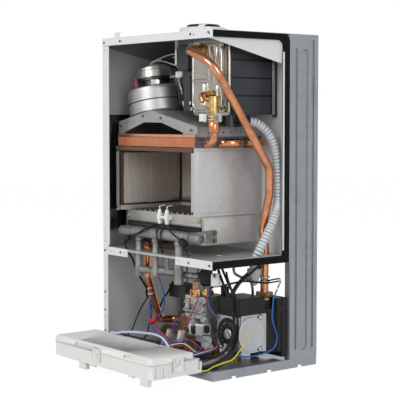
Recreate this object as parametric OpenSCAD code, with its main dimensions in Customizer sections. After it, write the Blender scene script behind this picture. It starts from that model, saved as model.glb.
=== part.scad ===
// Wall-hung condensing gas boiler, opened for service: the front cover and the
// right side panel are off and the control box is folded down to the front.
// Millimetres. X to the right, Y to the wall, Z up. The origin is the bottom
// centre of the rear face, so the cabinet fills y = -cab_d to 0.

/* [Cabinet] */
// Width of the cabinet
cab_w = 400; // [398:1:410]
// Depth of the cabinet
cab_d = 300; // [298:1:310]
// Height of the cabinet
cab_h = 730; // [728:1:760]
// Thickness of the white painted panels
panel_t = 1; // [0.8:0.1:1.2]
// Thickness of the galvanised frame sheet
frame_t = 1.2; // [1:0.1:1.5]
// Depth of the rear frame behind the combustion chamber
rear_d = 82; // [80:1:84]
// Width of the frame's front lip
lip_w = 16; // [12:1:20]
// Depth of the pressed ribs in the frame's sides
rib_d = 3; // [2:0.5:4]
// Height of the front rail of the top panel
rail_h = 16; // [14:1:18]
// Width of the side panel's front flange above the chamber floor
flange_w = 25; // [20:1:28]
// Width of the side panel's front flange below the chamber floor
flange_low_w = 18; // [15:1:20]
// Height of the base tray's rim
tray_h = 20; // [18:1:20]
// Distance between the two holes for the wall studs
hook_pitch = 240; // [200:5:280]
// Radius of a hole for a wall stud
hook_r = 4.5; // [4:0.25:5.5]

/* [Chamber floor and seal] */
// Height of the chamber floor's top face
floor_z = 252; // [250:1:254]
// Height of the floor's turned-down edges
floor_edge = 18; // [16:1:20]
// Width of the foam seal
seal_w = 17; // [14:1:18]
// Thickness of the foam seal
seal_t = 6; // [4:0.5:6]
// Radius of the seal's upper rear corner
seal_r = 14; // [8:1:18]
// Height of the left heat shield above the floor
shield_h = 304; // [280:2:320]

/* [Combustion chamber] */
// Right face of the combustion chamber from the cabinet's centre plane
fire_right = 108; // [104:1:110]
// Width of the combustion chamber
fire_w = 289; // [285:1:289]
// Depth of the combustion chamber
fire_d = 193; // [189:1:194]
// Gap between the floor and the burner casing
casing_gap = 22; // [20:1:24]
// Height of the burner casing
casing_h = 61; // [58:1:63]
// Height of the combustion chamber
fire_h = 148; // [140:1:152]
// Sheet thickness of chamber, casing and hood
fire_t = 1.2; // [1:0.1:1.5]
// Width of the chamber's front flanges
fire_flange = 9; // [7:1:10]
// Thickness of the insulation boards
board_t = 11; // [8:1:12]

/* [Burner and gas] */
// Number of burner bars
bar_count = 12; // [8:1:12]
// Distance between two burner bars
bar_pitch = 20; // [18:0.5:20]
// Thickness of a burner bar
bar_w = 9; // [7:0.5:11]
// Height of a burner bar
bar_h = 42; // [38:1:43]
// Outer radius of the gas manifold
manifold_r = 10; // [8:0.5:10]
// Outer radius of a gas riser
riser_r = 6.5; // [5.5:0.5:7]
// Radius of the lower gas rail
rail_r = 6.5; // [5.5:0.5:6.5]

/* [Heat exchanger] */
// Height of the fin block
fin_h = 29; // [26:1:30]
// Distance between two fins
fin_pitch = 6.5; // [6:0.5:9]
// Thickness of a fin
fin_t = 1; // [0.8:0.1:1.4]
// Outer radius of the copper water tubes
water_r = 9; // [8:0.5:9]
// Wall of the copper water tubes
water_t = 1; // [0.8:0.1:1.2]

/* [Hood and fan] */
// Slope of the hood's left roof, in degrees
hood_slope = 12; // [11:0.5:12]
// Radius of the fan casing
fan_r = 65; // [60:1:66]
// Height of the fan's lower casing half
volute_h = 31; // [26:1:32]
// Height of the fan's upper casing half
fan_cover_h = 31; // [26:1:32]
// Radius of the fan motor
fan_motor_r = 39; // [34:1:41]
// Height of the fan motor
fan_motor_h = 29; // [26:1:34]
// Radius of the fan wheel
wheel_r = 50; // [44:1:52]
// Number of blades on the fan wheel
wheel_blades = 16; // [8:1:20]

/* [Condenser] */
// Left face of the condenser from the centre plane
cond_left = 36; // [34:1:38]
// Width of the condenser housing
cond_w = 122; // [118:1:122]
// Height of the condenser housing
cond_h = 160; // [156:1:162]
// Depth of the condenser housing
cond_d = 133; // [130:1:134]
// Radius of the flue outlet's bore
flue_r = 30; // [28:0.5:30]

/* [Pipes and hose] */
// Radius of the copper return pipe
return_r = 9; // [8:0.5:9]
// Radius of the copper flow pipe
flow_r = 7; // [6:0.5:7]
// Radius of the link pipe at the exchanger
link_r = 8.5; // [7.5:0.5:8.5]
// Outer radius of the condensate hose on its ribs
hose_r = 9.5; // [8.5:0.5:9.5]
// Inner radius of the condensate hose
hose_bore_r = 6.5; // [5:0.5:6.5]
// Number of ribs on the condensate hose
hose_ribs = 96; // [40:4:110]
// Radius of the bottom pipe ends
stub_r = 9; // [7.5:0.5:10]
// Distance between two bottom pipe ends
stub_pitch = 65; // [64:0.5:66]

/* [Pump and valves] */
// Width of the pump motor
pump_w = 76; // [72:1:76]
// Length of the pump motor
pump_len = 70; // [66:1:70]
// Radius of the pump's front disc
dial_r = 34; // [30:1:35]
// Height of the pump's terminal box
terminal_h = 40; // [34:1:40]
// Radius of the pump rotor
rotor_r = 24; // [20:1:26]

/* [Control box] */
// Width of the control box
box_w = 363; // [356:1:364]
// Height of the control box, from its hinge to its free edge
box_h = 130; // [120:1:131]
// Thickness of the control box with its cover
box_d = 45; // [42:1:45]
// Thickness of the box cover
cover_d = 15; // [12:1:17]
// Wall of the control box
box_t = 2.5; // [2:0.5:3]
// Radius of the hinge pins
pin_r = 2.5; // [2:0.25:3]
// Radius of the two setting knobs
knob_r = 16; // [13:1:17]

/* [Hidden] */
$fn = 48;

// Running clearance round moving pieces
run_gap = 0.3;
// Clearance of a pipe in a sheet hole
hole_gap = 1;
// Gap between two sheets that are spot-welded
weld_gap = 0.05;
// Clearance of a shaft in its bearing
bearing_gap = 0.08;
// Overlap that makes a cut come out clean
eps = 0.1;
// Facets of a swept pipe
pipe_sides = 16;

// Main planes
side_x = cab_w / 2;
front_y = -cab_d;
wall_y = -rear_d;
chamber_y = wall_y - frame_t;
top_z = cab_h - panel_t;
seal_x = side_x - panel_t - seal_t;

// Combustion chamber planes, stacked on the floor
fire_left = fire_right - fire_w;
fire_front = chamber_y - fire_d;
casing_z = floor_z + casing_gap;
fire_z = casing_z + casing_h + 1;
fin_z = fire_z + fire_h;
hood_z = fin_z + fin_h;
tube_z = fin_z + 10.5;
tube_ys = [-248, -206, -160, -131, -98];
casing_inset = 3.5;
fin_front = fire_front + 5;
hood_front = fire_front + 8;

// Combustion chamber fittings
bar_x0 = (fire_left + fire_right - (bar_count - 1) * bar_pitch) / 2;
bar_xs = [for (i = [0:bar_count - 1]) bar_x0 + i * bar_pitch];
bar_top = fire_z + 5;
strip_y = fire_front + 26;
bar_len = fire_d - 29 - fire_t - board_t;
electrode_xs = [-34.5, -7.5];
electrode_y = strip_y - 10;

// Gas manifold and the risers that feed it
manifold_y = fire_front - 5;
manifold_z = casing_z + 18;
manifold_x = [-151, fire_right + 4];
ear_t = 4.5;
ear_y = manifold_y + 62;
boss_h = 13;
riser_xs = [-87, -23, 61];
riser_y = manifold_y + 1.2;
riser_z0 = floor_z - 58;
rail_y = riser_y + 14;
rail_z = floor_z - 44;
valve_x = 92;
valve_y = -225;
valve_top = 160;

// Link between condenser and heat exchanger
link_x = 141;
link_y = tube_ys[0];

// Hood outline above its lower edge
hood_eave_left = 27;
hood_eave_right = 17;
hood_ridge_x = -59;
hood_ridge_z = hood_z + hood_eave_left + (hood_ridge_x - fire_left) * tan(hood_slope);

// Fan on the hood's left roof
fan_x = -112;
fan_shift = 5;
fan_y = -202;
fan_base = hood_z + hood_eave_left + (fan_x - fire_left) * tan(hood_slope);
fan_seam = 0.6;
fan_top = volute_h + fan_seam + fan_cover_h;
bracket_z = fan_top + 15;
motor_z = bracket_z + 6;
grommet_h = bracket_z - volute_h - fan_cover_h;
arm_angles = [30, 150, 270];
arm_r = 54;
shaft_r = 4;
duct_z = [floor_z + 326, floor_z + 360];
duct_y = [-190, -146];

// Condenser planes
cond_right = cond_left + cond_w;
cond_top = top_z - 13;
cond_bottom = cond_top - cond_h;
cond_front = chamber_y - cond_d;
flue_x = 0;
flue_y = -163;
collar_r = 53.5;
collar_h = 19;

// Pump planes
pump_x = 156;
pump_z = 87;
pump_rear = -150;
pump_front = pump_rear - pump_len;
block_x = [120, 194];
shaft_front = pump_front + 6;

// Filling tap under the hydraulic block
tap_x = 126;
tap_y = -118;
spindle_r = 3;

// Stubs through the base
stub_y = -180;
stub_xs = [for (i = [-2:2]) i * stub_pitch];

// Control box hinge and planes in the open pose
hinge_y = front_y - 5;
hinge_z = 12;
box_x0 = -181;
box_x1 = box_x0 + box_w;
box_z0 = hinge_z + 7;
box_z1 = box_z0 + box_d;
box_y1 = hinge_y - 12;
box_y0 = box_y1 - box_h;
hinge_xs = [-160, 155];
knob_xs = [-110, 60];
knob_y = -380;

// Routes, in real sizes
return_route = [
  [80, -243, 696], [80, -272, 694], [168, -273, 662], [176, -121, 439], [173, -119, 380],
  [158, -124, 312], [157, -116, 262], [155, -116, 210], [155, -115.6, 158]
];
elbow_route = [[113, -237, 598], [113, -262, 597], [123, -261, 582]];
flow_route = [
  [-182.2, -98, 494.5], [-189, -98, 494.5], [-189, -98, 263], [-150, -200, 262],
  [-93, -251, 262], [-93, -251, 190], [-97, -238, 150], [-97, -212, 84], [-84, -180, 84],
  [-57, -180, 84]
];
gas_route = [[riser_xs[1] - 17, rail_y, rail_z], [valve_x, rail_y, rail_z],
  [valve_x, valve_y, rail_z], [valve_x, valve_y, valve_top + 1]];
hose_route = [
  [142, -186, cond_bottom - 15], [142, -166, cond_bottom - 15], [152, -140, cond_bottom - 18],
  [162, -118, 520], [168, -104, 494],
  [172, -98, 460], [175, -96, 400], [176, -97, 360], [182, -113, 330], [184, -140, 290],
  [180, -157, 258], [172, -161, 240], [172, -161, 218.3]
];
thin_route = [
  [118, -172, 251], [118, -172, 214], [128, -164, 203], [142, -150, 196], [146, -144, 184],
  [142, -138, 160], [142, -138, 136.2]
];
harness_route = [
  [120, -215, 249], [128, -228, 215], [150, -236, 170], [168, -240, 120], [160, -250, 60],
  [120, -275, 42], [66, -300, 51.5], [20, -318, 53.2]
];

// Points of an arc, for outlines
function arc(x, y, r, a0, a1, n = 5) =
  [for (i = [0:n]) let (a = a0 + (a1 - a0) * i / n) [x + r * cos(a), y + r * sin(a)]];

// Rectangle with round corners, centred
function round_rect(w, h, r) = concat(
  arc(w / 2 - r, h / 2 - r, r, 0, 90), arc(r - w / 2, h / 2 - r, r, 90, 180),
  arc(r - w / 2, r - h / 2, r, 180, 270), arc(w / 2 - r, r - h / 2, r, 270, 360));

// Open sheet-metal profile: a line of corners, thickened to its right
function left_of(v) = [-v[1], v[0]] / norm(v);
function mitre(p, i) = let (
    a = left_of(i > 0 ? p[i] - p[i - 1] : p[1] - p[0]),
    b = left_of(i < len(p) - 1 ? p[i + 1] - p[i] : p[i] - p[i - 1])
  ) (a + b) / (1 + a * b);
function folded(p, t) =
  concat(p, [for (i = [len(p) - 1:-1:0]) p[i] - t * mitre(p, i)]);

// Route with its inner corners rounded to arcs
function unit(v) = v / norm(v);
function blend(a, b, th, k) = (a * sin(th * (1 - k)) + b * sin(th * k)) / sin(th);
function corner(a, b, c, r, n) = let (
    u = unit(a - b), v = unit(c - b), th = 180 - acos(u * v), d = r * tan(th / 2),
    m = b + unit(u + v) * r / cos(th / 2)
  ) [for (k = [0:n]) m + blend(b + u * d - m, b + v * d - m, th, k / n)];
function rounded(p, r, n = 4) = concat([p[0]],
  [for (i = [1:len(p) - 2]) each corner(p[i - 1], p[i], p[i + 1], is_list(r) ? r[i - 1] : r, n)],
  [p[len(p) - 1]]);

// Smooth curve through all points of a route
function spline_point(a, b, c, d, t) = 0.5 * ((2 * b) + (c - a) * t +
  (2 * a - 5 * b + 4 * c - d) * t * t + (3 * b - a - 3 * c + d) * t * t * t);
function at_end(p, i) = p[min(max(i, 0), len(p) - 1)];
function curve(p, n) = [for (k = [0:n]) let (
    s = (len(p) - 1) * k / n, i = min(floor(s), len(p) - 2)
  ) spline_point(at_end(p, i - 1), p[i], p[i + 1], at_end(p, i + 2), s - i)];

// Frames along a route, carried without twist
function tangents(p) = [for (i = [0:len(p) - 1]) unit(at_end(p, i + 1) - at_end(p, i - 1))];
function across(t) = unit(cross(t, abs(t[2]) > 0.9 ? [1, 0, 0] : [0, 0, 1]));
function carried(t, i, n) = i == len(t) ? [] :
  let (m = unit(n - (n * t[i]) * t[i])) concat([m], carried(t, i + 1, m));
function rings(p, radii, sides) = let (t = tangents(p), n = carried(t, 0, across(t[0])))
  [for (i = [0:len(p) - 1]) for (j = [0:sides - 1]) let (a = 360 * j / sides)
    p[i] + radii[i] * (cos(a) * n[i] + sin(a) * cross(t[i], n[i]))];
function skin(count, sides, first, flip) = [for (i = [0:count - 2]) for (j = [0:sides - 1])
  let (a = first + i * sides, k = (j + 1) % sides,
    q = [a + j, a + sides + j, a + sides + k, a + k])
  each flip ? [[q[2], q[1], q[0]], [q[3], q[2], q[0]]] : [[q[0], q[1], q[2]], [q[0], q[2], q[3]]]];
function ring_cap(a, b, sides) = [for (j = [0:sides - 1]) let (k = (j + 1) % sides)
  each [[a + j, a + k, b + k], [a + j, b + k, b + j]]];

module swept(p, r, sides = pipe_sides) {
  n = len(p);
  polyhedron(
    rings(p, [for (i = p) r], sides),
    concat(skin(n, sides, 0, false), [[for (j = [0:sides - 1]) j]],
      [[for (j = [sides - 1:-1:0]) (n - 1) * sides + j]]), convexity = 6);
}

module box(a, b) { translate(a) cube(b - a); }
module plate_x(x, t) { translate([x, 0, 0]) rotate([90, 0, 90]) linear_extrude(t) children(); }
module plate_y(y, t) { translate([0, y + t, 0]) rotate([90, 0, 0]) linear_extrude(t) children(); }
module plate_z(z, t) { translate([0, 0, z]) linear_extrude(t) children(); }
module rod_x(x, y, z, r, l) { translate([x, y, z]) rotate([0, 90, 0]) cylinder(r = r, h = l); }
module rod_y(x, y, z, r, l) { translate([x, y, z]) rotate([-90, 0, 0]) cylinder(r = r, h = l); }
module rod_z(x, y, z, r, l) { translate([x, y, z]) cylinder(r = r, h = l); }
module slot(w, h) { polygon(round_rect(w, h, min(w, h) / 2 - 0.01)); }
module hexagon(across_flats) { circle(r = across_flats / sqrt(3), $fn = 6); }

// A long pressed recess in the right side's sheet
module pressed_side(y, z0, z1, w) {
  middle = (z0 + z1) / 2;
  plate_x(side_x - rib_d - frame_t, rib_d) difference() {
    translate([y, middle]) slot(w + 2 * frame_t, z1 - z0 + 2 * frame_t);
    if (rib_d > frame_t) translate([y, middle]) slot(w, z1 - z0);
  }
  plate_x(side_x - rib_d - frame_t, frame_t) translate([y, middle]) slot(w, z1 - z0);
}

module frame_side() {
  ribs = [[wall_y + 17, tray_h + 20, top_z - 30, 7], [-42, tray_h + 17, top_z - 31, 24],
    [-15, tray_h + 20, top_z - 11, 7]];
  plate_x(side_x - frame_t, frame_t) difference() {
    polygon([[wall_y, tray_h], [0, tray_h], [0, top_z], [wall_y, top_z]]);
    for (r = ribs) translate([r[0], (r[1] + r[2]) / 2]) slot(r[3], r[2] - r[1]);
  }
  for (r = ribs) pressed_side(r[0], r[1], r[2], r[3]);
  box([side_x - lip_w, wall_y, tray_h], [side_x, wall_y + frame_t, top_z]);
}

module rear_frame() color("lightsteelblue") {
  frame_side();
  mirror([1, 0, 0]) frame_side();
  inner = side_x - frame_t - weld_gap;
  plate_y(-frame_t, frame_t) difference() {
    polygon([[-inner, floor_z - floor_edge], [inner, floor_z - floor_edge],
      [inner, top_z], [-inner, top_z]]);
    for (s = [-1, 1]) translate([s * hook_pitch / 2, top_z - 29]) circle(r = hook_r);
  }
  box([-inner, -frame_t, tray_h], [inner, 0, tray_h + 34]);
  box([-inner, -18, tray_h + 34 - frame_t], [inner, 0, tray_h + 34]);
}

module chamber_rear_wall() color("gray") {
  box([frame_t - side_x, chamber_y, floor_z - floor_edge], [side_x - frame_t, wall_y, top_z]);
  box([seal_x - panel_t, chamber_y - seal_w, floor_z], [seal_x, chamber_y, top_z - 60]);
}

module expansion_vessel() color("firebrick") {
  vessel_z = 500;
  translate([0, 0, vessel_z]) {
    plate_y(-34, 33.8 - frame_t) polygon(round_rect(300, 380, 60));
    plate_y(-41, 7) polygon(round_rect(318, 398, 66));
    plate_y(-68, 27) polygon(round_rect(300, 380, 60));
  }
  rod_z(60, -38, vessel_z - 214, 6, 16);
}

module left_side_panel() color("white") {
  box([-side_x, front_y + panel_t, 0], [panel_t - side_x, wall_y, top_z]);
  difference() {
    plate_y(front_y, panel_t) polygon([[-side_x, 0], [flange_low_w - side_x, 0],
      [flange_low_w - side_x, floor_z], [flange_w - side_x, floor_z + flange_w - flange_low_w],
      [flange_w - side_x, top_z - rail_h - hole_gap], [-side_x, top_z - rail_h - hole_gap]]);
    for (z = [88, 130, 150, floor_z + 12, top_z - 26]) {
      rod_y(9 - side_x, front_y - eps, z, 2, panel_t + 2 * eps);
    }
  }
}

// Triangular side gusset under the top, from the front rail to the rear wall
module gusset(x, rear) {
  z = top_z - weld_gap;
  y = front_y + panel_t + weld_gap;
  plate_x(x, panel_t) polygon([[y, z], [y, z - rail_h - 1], [rear - 5, z - rail_h - 47],
    [rear, z - rail_h - 45], [rear, z]]);
}

module top_panel() color("white") {
  difference() {
    box([-side_x, front_y, top_z], [side_x, 0, cab_h]);
    rod_z(flue_x, flue_y, top_z - eps, flue_r + hole_gap, panel_t + 2 * eps);
  }
  difference() {
    box([-side_x, front_y, top_z - rail_h], [side_x, front_y + panel_t, top_z - weld_gap]);
    for (x = [-125, 138, 190]) {
      rod_y(x, front_y - eps, top_z - rail_h / 2, 2, panel_t + 2 * eps);
    }
  }
  for (x = [-141, 164]) {
    box([x - 10, front_y, cab_h + weld_gap], [x + 10, front_y + panel_t, cab_h + 11]);
    box([x - 10, front_y, cab_h + 11 - panel_t], [x + 10, front_y + 6, cab_h + 11]);
  }
  gusset(panel_t - side_x, chamber_y);
  gusset(seal_x - panel_t, chamber_y - seal_w);
}

module chamber_floor() color("darkgray") {
  gland = [[-104, front_y - eps], [74, front_y - eps], [74, front_y + 62], [-104, front_y + 62]];
  difference() {
    box([panel_t - side_x, front_y + panel_t, floor_z - panel_t],
      [seal_x, chamber_y, floor_z]);
    plate_z(floor_z - 2, 4) polygon(gland);
    rod_z(157, -116, floor_z - 2, return_r + 2 * hole_gap, 4);
    rod_z(178, -158, floor_z - 2, hose_r + 2.5, 4);
    rod_z(118, -172, floor_z - 2, 3.3, 4);
    rod_z(120, -215, floor_z - 2, 7, 4);
  }
  for (x = [[flange_low_w - side_x + 0.5, -104], [74, side_x - panel_t]]) {
    difference() {
      box([x[0], front_y, floor_z - floor_edge], [x[1], front_y + panel_t, floor_z]);
      for (s = [0, 1]) {
        rod_y(x[s] + (s == 0 ? 12 : -12), front_y - eps, floor_z - 9, 1.8, panel_t + 2 * eps);
      }
    }
  }
  box([seal_x - panel_t, front_y + panel_t, floor_z - floor_edge], [seal_x, chamber_y, floor_z]);
  box([panel_t - side_x, front_y + panel_t, floor_z - floor_edge],
    [2 * panel_t - side_x, chamber_y, floor_z]);
}

module floor_gland_plate() color("silver") {
  difference() {
    box([-110, front_y + 1.5, floor_z - 2.2], [80, front_y + 68, floor_z - panel_t]);
    for (x = riser_xs) rod_z(x, riser_y, floor_z - 5, riser_r + hole_gap / 2, 10);
    rod_z(-93, -251, floor_z - 5, flow_r + hole_gap, 10);
  }
}

module chamber_seal() color("black") {
  z0 = floor_z - floor_edge + 1;
  rear = chamber_y;
  plate_x(seal_x, seal_t) polygon(concat(
    [[front_y + 2, z0], [rear, z0]],
    arc(rear - seal_r - 4, top_z - seal_r - 4, seal_r + 4, 0, 90),
    [[front_y + 2, top_z], [front_y + 2, top_z - seal_w + 3]],
    arc(rear - seal_w - seal_r, top_z - seal_w + 3 - seal_r, seal_r, 90, 0),
    [[rear - seal_w, z0 + seal_w - 2], [front_y + 2, z0 + seal_w - 2]]));
}

module base_tray() color("lightsteelblue") {
  half = side_x - panel_t;
  difference() {
    union() {
      box([-half, front_y + 2, tray_h - frame_t], [half, 0, tray_h]);
      for (s = [-1, 1]) {
        box([s > 0 ? half - frame_t : -half, front_y + 2, 0],
          [s > 0 ? half : frame_t - half, 0, tray_h]);
      }
      box([-half, front_y + 2, 0], [half, front_y + 2 + frame_t, tray_h]);
      box([-half, -frame_t, 0], [half, 0, tray_h]);
      for (x = hinge_xs) for (s = [-1, 1]) hinge_lug(x + s * 5);
    }
    for (x = stub_xs) rod_z(x, stub_y, -eps, stub_r + hole_gap, tray_h + 1);
    for (y = [-240, -140, -50]) {
      box([half - 5, y - 6, -eps], [half + 5, y + 6, 5]);
    }
  }
  for (x = hinge_xs) rod_x(x - 7, hinge_y, hinge_z, pin_r, 14);
}

// Upright ear that carries a hinge pin in front of the tray
module hinge_lug(x) {
  plate_x(x - 1.25, 2.5) difference() {
    polygon(concat([[front_y + 2.5, hinge_z - 6]],
      arc(hinge_y, hinge_z, 6, 270, 90, 8), [[front_y + 2.5, hinge_z + 6]]));
  }
}

module left_heat_shield() color("dimgray") {
  x = 2 * panel_t - side_x;
  box([x, front_y + 14, floor_z], [x + fire_t, chamber_y, floor_z + shield_h]);
}

module flue_adaptor() color("white") {
  translate([flue_x, flue_y, cab_h]) rotate_extrude() polygon([[flue_r, -panel_t],
    [flue_r + hole_gap - 0.2, -panel_t], [flue_r + hole_gap - 0.2, 0], [collar_r + 4, 0],
    [collar_r + 4, 3], [collar_r, 4], [collar_r, collar_h - 2], [collar_r - 2, collar_h],
    [flue_r, collar_h]]);
}

module flue_gasket() color("black") {
  translate([flue_x, flue_y, cab_h + collar_h]) rotate_extrude() polygon([[flue_r, 0],
    [flue_r + 7, 0], [flue_r + 7, 5], [flue_r + 4, 7], [flue_r, 7]]);
}

module combustion_chamber() color("silver") {
  plate_z(fire_z, fire_h) polygon(folded([[fire_left + fire_flange, fire_front],
    [fire_left, fire_front], [fire_left, chamber_y], [fire_right, chamber_y],
    [fire_right, fire_front], [fire_right - fire_flange, fire_front]], fire_t));
  box([fire_left, fire_front, fin_z - fire_flange], [fire_right, fire_front + fire_t, fin_z]);
  for (x = [fire_left + 4.5, fire_right - 4.5]) for (z = [fire_z + 4.5, fin_z - 4.5]) {
    rod_y(x, fire_front - 1.5, z, 2.5, 2);
  }
}

module insulation_boards() color("burlywood") {
  left = fire_left + fire_t;
  right = fire_right - fire_t;
  rear = chamber_y - fire_t;
  plate_z(fire_z + 1, fire_h - 2) polygon([[left, fire_front + 8], [left, rear], [right, rear],
    [right, fire_front + 8], [right - board_t, fire_front + 8], [right - board_t, rear - board_t],
    [left + board_t, rear - board_t], [left + board_t, fire_front + 8]]);
}

module burner_casing() color("silver") {
  left = fire_left + casing_inset;
  right = fire_right - casing_inset;
  front = strip_y;
  plate_z(casing_z, casing_h) polygon(folded([[left, front], [left, chamber_y],
    [right, chamber_y], [right, front]], fire_t));
  for (s = [-1, 1]) {
    box([s < 0 ? left : right - fire_t, front, casing_z + casing_h],
      [s < 0 ? left + fire_t : right, chamber_y, fire_z]);
  }
}

module burner_bars() color("dimgray") {
  for (x = bar_xs) difference() {
    translate([x, 0, bar_top - bar_h]) plate_y(strip_y + 2, bar_len) polygon([
      [-bar_w / 2, bar_h - 9], [-bar_w / 2, 12], [-3, 6], [-3, 0], [3, 0], [3, 6],
      [bar_w / 2, 12], [bar_w / 2, bar_h - 9], [bar_w / 4, bar_h], [-bar_w / 4, bar_h]]);
    for (k = [0:8]) {
      box([x - bar_w / 4 + 1, strip_y + 12 + 16 * k, bar_top - 4],
        [x + bar_w / 4 - 1, strip_y + 22 + 16 * k, bar_top + 1]);
    }
  }
}

module burner_front_strip() color("silver") {
  z0 = bar_top - 28;
  right = fire_right - casing_inset - fire_t;
  box([fire_left + 8, strip_y, z0], [right, strip_y + 1.8, z0 + 24]);
  for (x = [fire_left + 14, right - 7]) rod_y(x, strip_y - 2, z0 + 12, 3, 2);
}

module gas_manifold() color("silver") {
  difference() {
    union() {
      rod_x(manifold_x[0], manifold_y, manifold_z, manifold_r, manifold_x[1] - manifold_x[0]);
      for (x = riser_xs) rod_z(x, riser_y, manifold_z - boss_h, riser_r + 2, boss_h);
      box([bar_xs[0] - 6, manifold_y, manifold_z + 3.5],
        [bar_xs[bar_count - 1] + 6, manifold_y + 11, manifold_z + 10.5]);
      manifold_ear();
    }
    rod_x(manifold_x[1] - 8, manifold_y, manifold_z, manifold_r - 3.5, 12);
    for (x = riser_xs) rod_z(x, riser_y, manifold_z - boss_h - 1, riser_r - 1.5, boss_h + 1);
    for (z = [-8.5, 8.5]) rod_x(fire_right - 8, ear_y, manifold_z + z, 2.6, 20);
  }
}

// Ear of the manifold that bolts to the burner casing's right side
module manifold_ear() {
  plate_x(fire_right - casing_inset, ear_t) difference() {
    polygon(concat(arc(manifold_y, manifold_z, manifold_r + 3, 60, 300, 12),
      [[ear_y - 6, manifold_z - 15], [ear_y + 6, manifold_z - 14],
      [ear_y + 6, manifold_z + 14], [ear_y - 6, manifold_z + 15]]));
    polygon([[manifold_y + 22, manifold_z - 5], [manifold_y + 40, manifold_z - 9],
      [manifold_y + 40, manifold_z + 9], [manifold_y + 22, manifold_z + 5]]);
  }
}

module injector_nozzles() color("gold") {
  for (x = bar_xs) {
    rod_y(x, manifold_y + 11, manifold_z + 8, 3, 4);
    rod_y(x, manifold_y + 15, manifold_z + 8, 2, strip_y + 1.8 - manifold_y - 15);
  }
  for (z = [-8.5, 8.5]) {
    rod_x(fire_right - casing_inset + ear_t, ear_y, manifold_z + z, 4.5, 3.5);
    rod_x(fire_right - casing_inset, ear_y, manifold_z + z, 2.5, ear_t);
  }
}

module gas_risers() color("silver") {
  for (x = riser_xs) translate([x, riser_y, riser_z0]) rotate_extrude() polygon([
    [riser_r - 1.5, 0], [riser_r + 2.5, 0], [riser_r + 2.5, 3], [riser_r, 7],
    [riser_r, manifold_z - boss_h - riser_z0], [riser_r - 1.5, manifold_z - boss_h - riser_z0]]);
}

module lower_gas_rail() color("silver") {
  difference() {
    union() {
      swept(rounded(gas_route, 12), rail_r);
      for (x = [riser_xs[1], riser_xs[2]]) rod_y(x, riser_y + 1, rail_z, 5.5, rail_y - riser_y);
      rod_x(riser_xs[0], riser_y, rail_z, 5.5, riser_xs[1] - riser_xs[0]);
      box([24, rail_y - 1.5, rail_z], [36, rail_y + 1.5, floor_z - 2.2]);
    }
    for (x = riser_xs) rod_z(x, riser_y, rail_z - 20, riser_r + run_gap, 40);
    rod_z(30, rail_y, floor_z - 12, 3, 8);
  }
}

module ignition_electrodes() color("white") {
  z0 = bar_top - 28;
  for (x = electrode_xs) {
    rod_z(x, electrode_y, z0, 4.5, 32);
    box([x - 5, electrode_y - 4.5, z0 + 10], [x + 5, strip_y, z0 + 21]);
    swept([[x, electrode_y, z0 + 32], [x, electrode_y, bar_top + 12],
      [x, electrode_y + 14, bar_top + 13]], 1.2, 8);
  }
  box([electrode_xs[0] + 5, electrode_y - 3, z0 + 13], [electrode_xs[1] - 5, electrode_y + 1, z0 + 18]);
}

module ignition_transformer() color("black") {
  translate([118, -243, floor_z - panel_t - 30]) {
    plate_z(0, 30) polygon(round_rect(30, 22, 3));
    for (x = [-8, 8]) rod_z(x, -4, -6, 4, 6);
  }
}

module exchanger_fins() color("peru") {
  left = fire_left + 8;
  count = floor((fire_w - 16 - fin_t) / fin_pitch);
  for (i = [0:count]) plate_x(left + i * fin_pitch, fin_t) difference() {
    polygon([[fin_front, fin_z + 1], [chamber_y - 5, fin_z + 1], [chamber_y - 5, hood_z],
      [fin_front, hood_z]]);
    for (y = tube_ys) translate([y, tube_z]) circle(r = water_r + 0.05);
  }
}

module exchanger_tubes() color("peru") {
  x0 = fire_left - 1;
  x1 = fire_right + 8;
  for (y = tube_ys) difference() {
    rod_x(x0, y, tube_z, water_r, x1 - x0);
    rod_x(x0 - eps, y, tube_z, water_r - water_t, x1 - x0 + 2 * eps);
  }
  for (k = [1, 3]) {
    r = (tube_ys[k + 1] - tube_ys[k]) / 2;
    translate([x1, (tube_ys[k] + tube_ys[k + 1]) / 2, tube_z]) rotate([0, 0, -90])
      rotate_extrude(angle = 180) translate([r, 0]) circle(r = water_r);
  }
  for (k = [0, 2]) {
    w = tube_ys[k + 1] - tube_ys[k] + 2 * water_r + 4;
    plate_x(x0 - 10, 10) translate([(tube_ys[k] + tube_ys[k + 1]) / 2, tube_z])
      slot(w, 2 * water_r + 4);
  }
}

module exchanger_end_plates() color("steelblue") {
  for (x = [fire_left, fire_right - fire_t]) plate_x(x, fire_t) difference() {
    polygon([[fin_front, fin_z], [chamber_y, fin_z], [chamber_y, hood_z],
      [fin_front, hood_z]]);
    for (y = tube_ys) translate([y, tube_z]) circle(r = water_r + 0.05);
  }
}

module fume_hood() color("gray") {
  right_z = hood_z + hood_eave_right;
  roof = [[fire_left, hood_z], [fire_left, hood_z + hood_eave_left], [hood_ridge_x, hood_ridge_z],
    [fire_right, right_z], [fire_right, hood_z]];
  difference() {
    union() {
      plate_y(hood_front, chamber_y - hood_front) polygon(folded(roof, fire_t));
      plate_y(chamber_y - fire_t, fire_t) polygon(roof);
      plate_y(hood_front, fire_t) difference() {
        polygon(roof);
        polygon([[fire_left + 23, hood_z - 1], [fire_left + 23, hood_z + 3],
          [fire_left + 100, hood_z + 26], [fire_right - 124, hood_z + 25],
          [fire_right - 48, hood_z + 4], [fire_right - 48, hood_z - 1]]);
      }
    }
    at_fan() translate([0, 0, -10]) cylinder(r = wheel_r * 0.6, h = 20);
    for (p = [[fire_left + 10, 8], [-120, 28], [-10, 30], [fire_right - 12, 8]]) {
      rod_y(p[0], hood_front - 3, hood_z + p[1], 1.6, 8);
    }
  }
  difference() {
    box([fire_right, hood_front, hood_z - 5], [fire_right + 1.5, chamber_y, right_z - 4]);
    for (k = [0:5]) rod_x(fire_right - 1, hood_front + 15 + 30 * k, hood_z + 5, 1.8, 5);
  }
}

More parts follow.
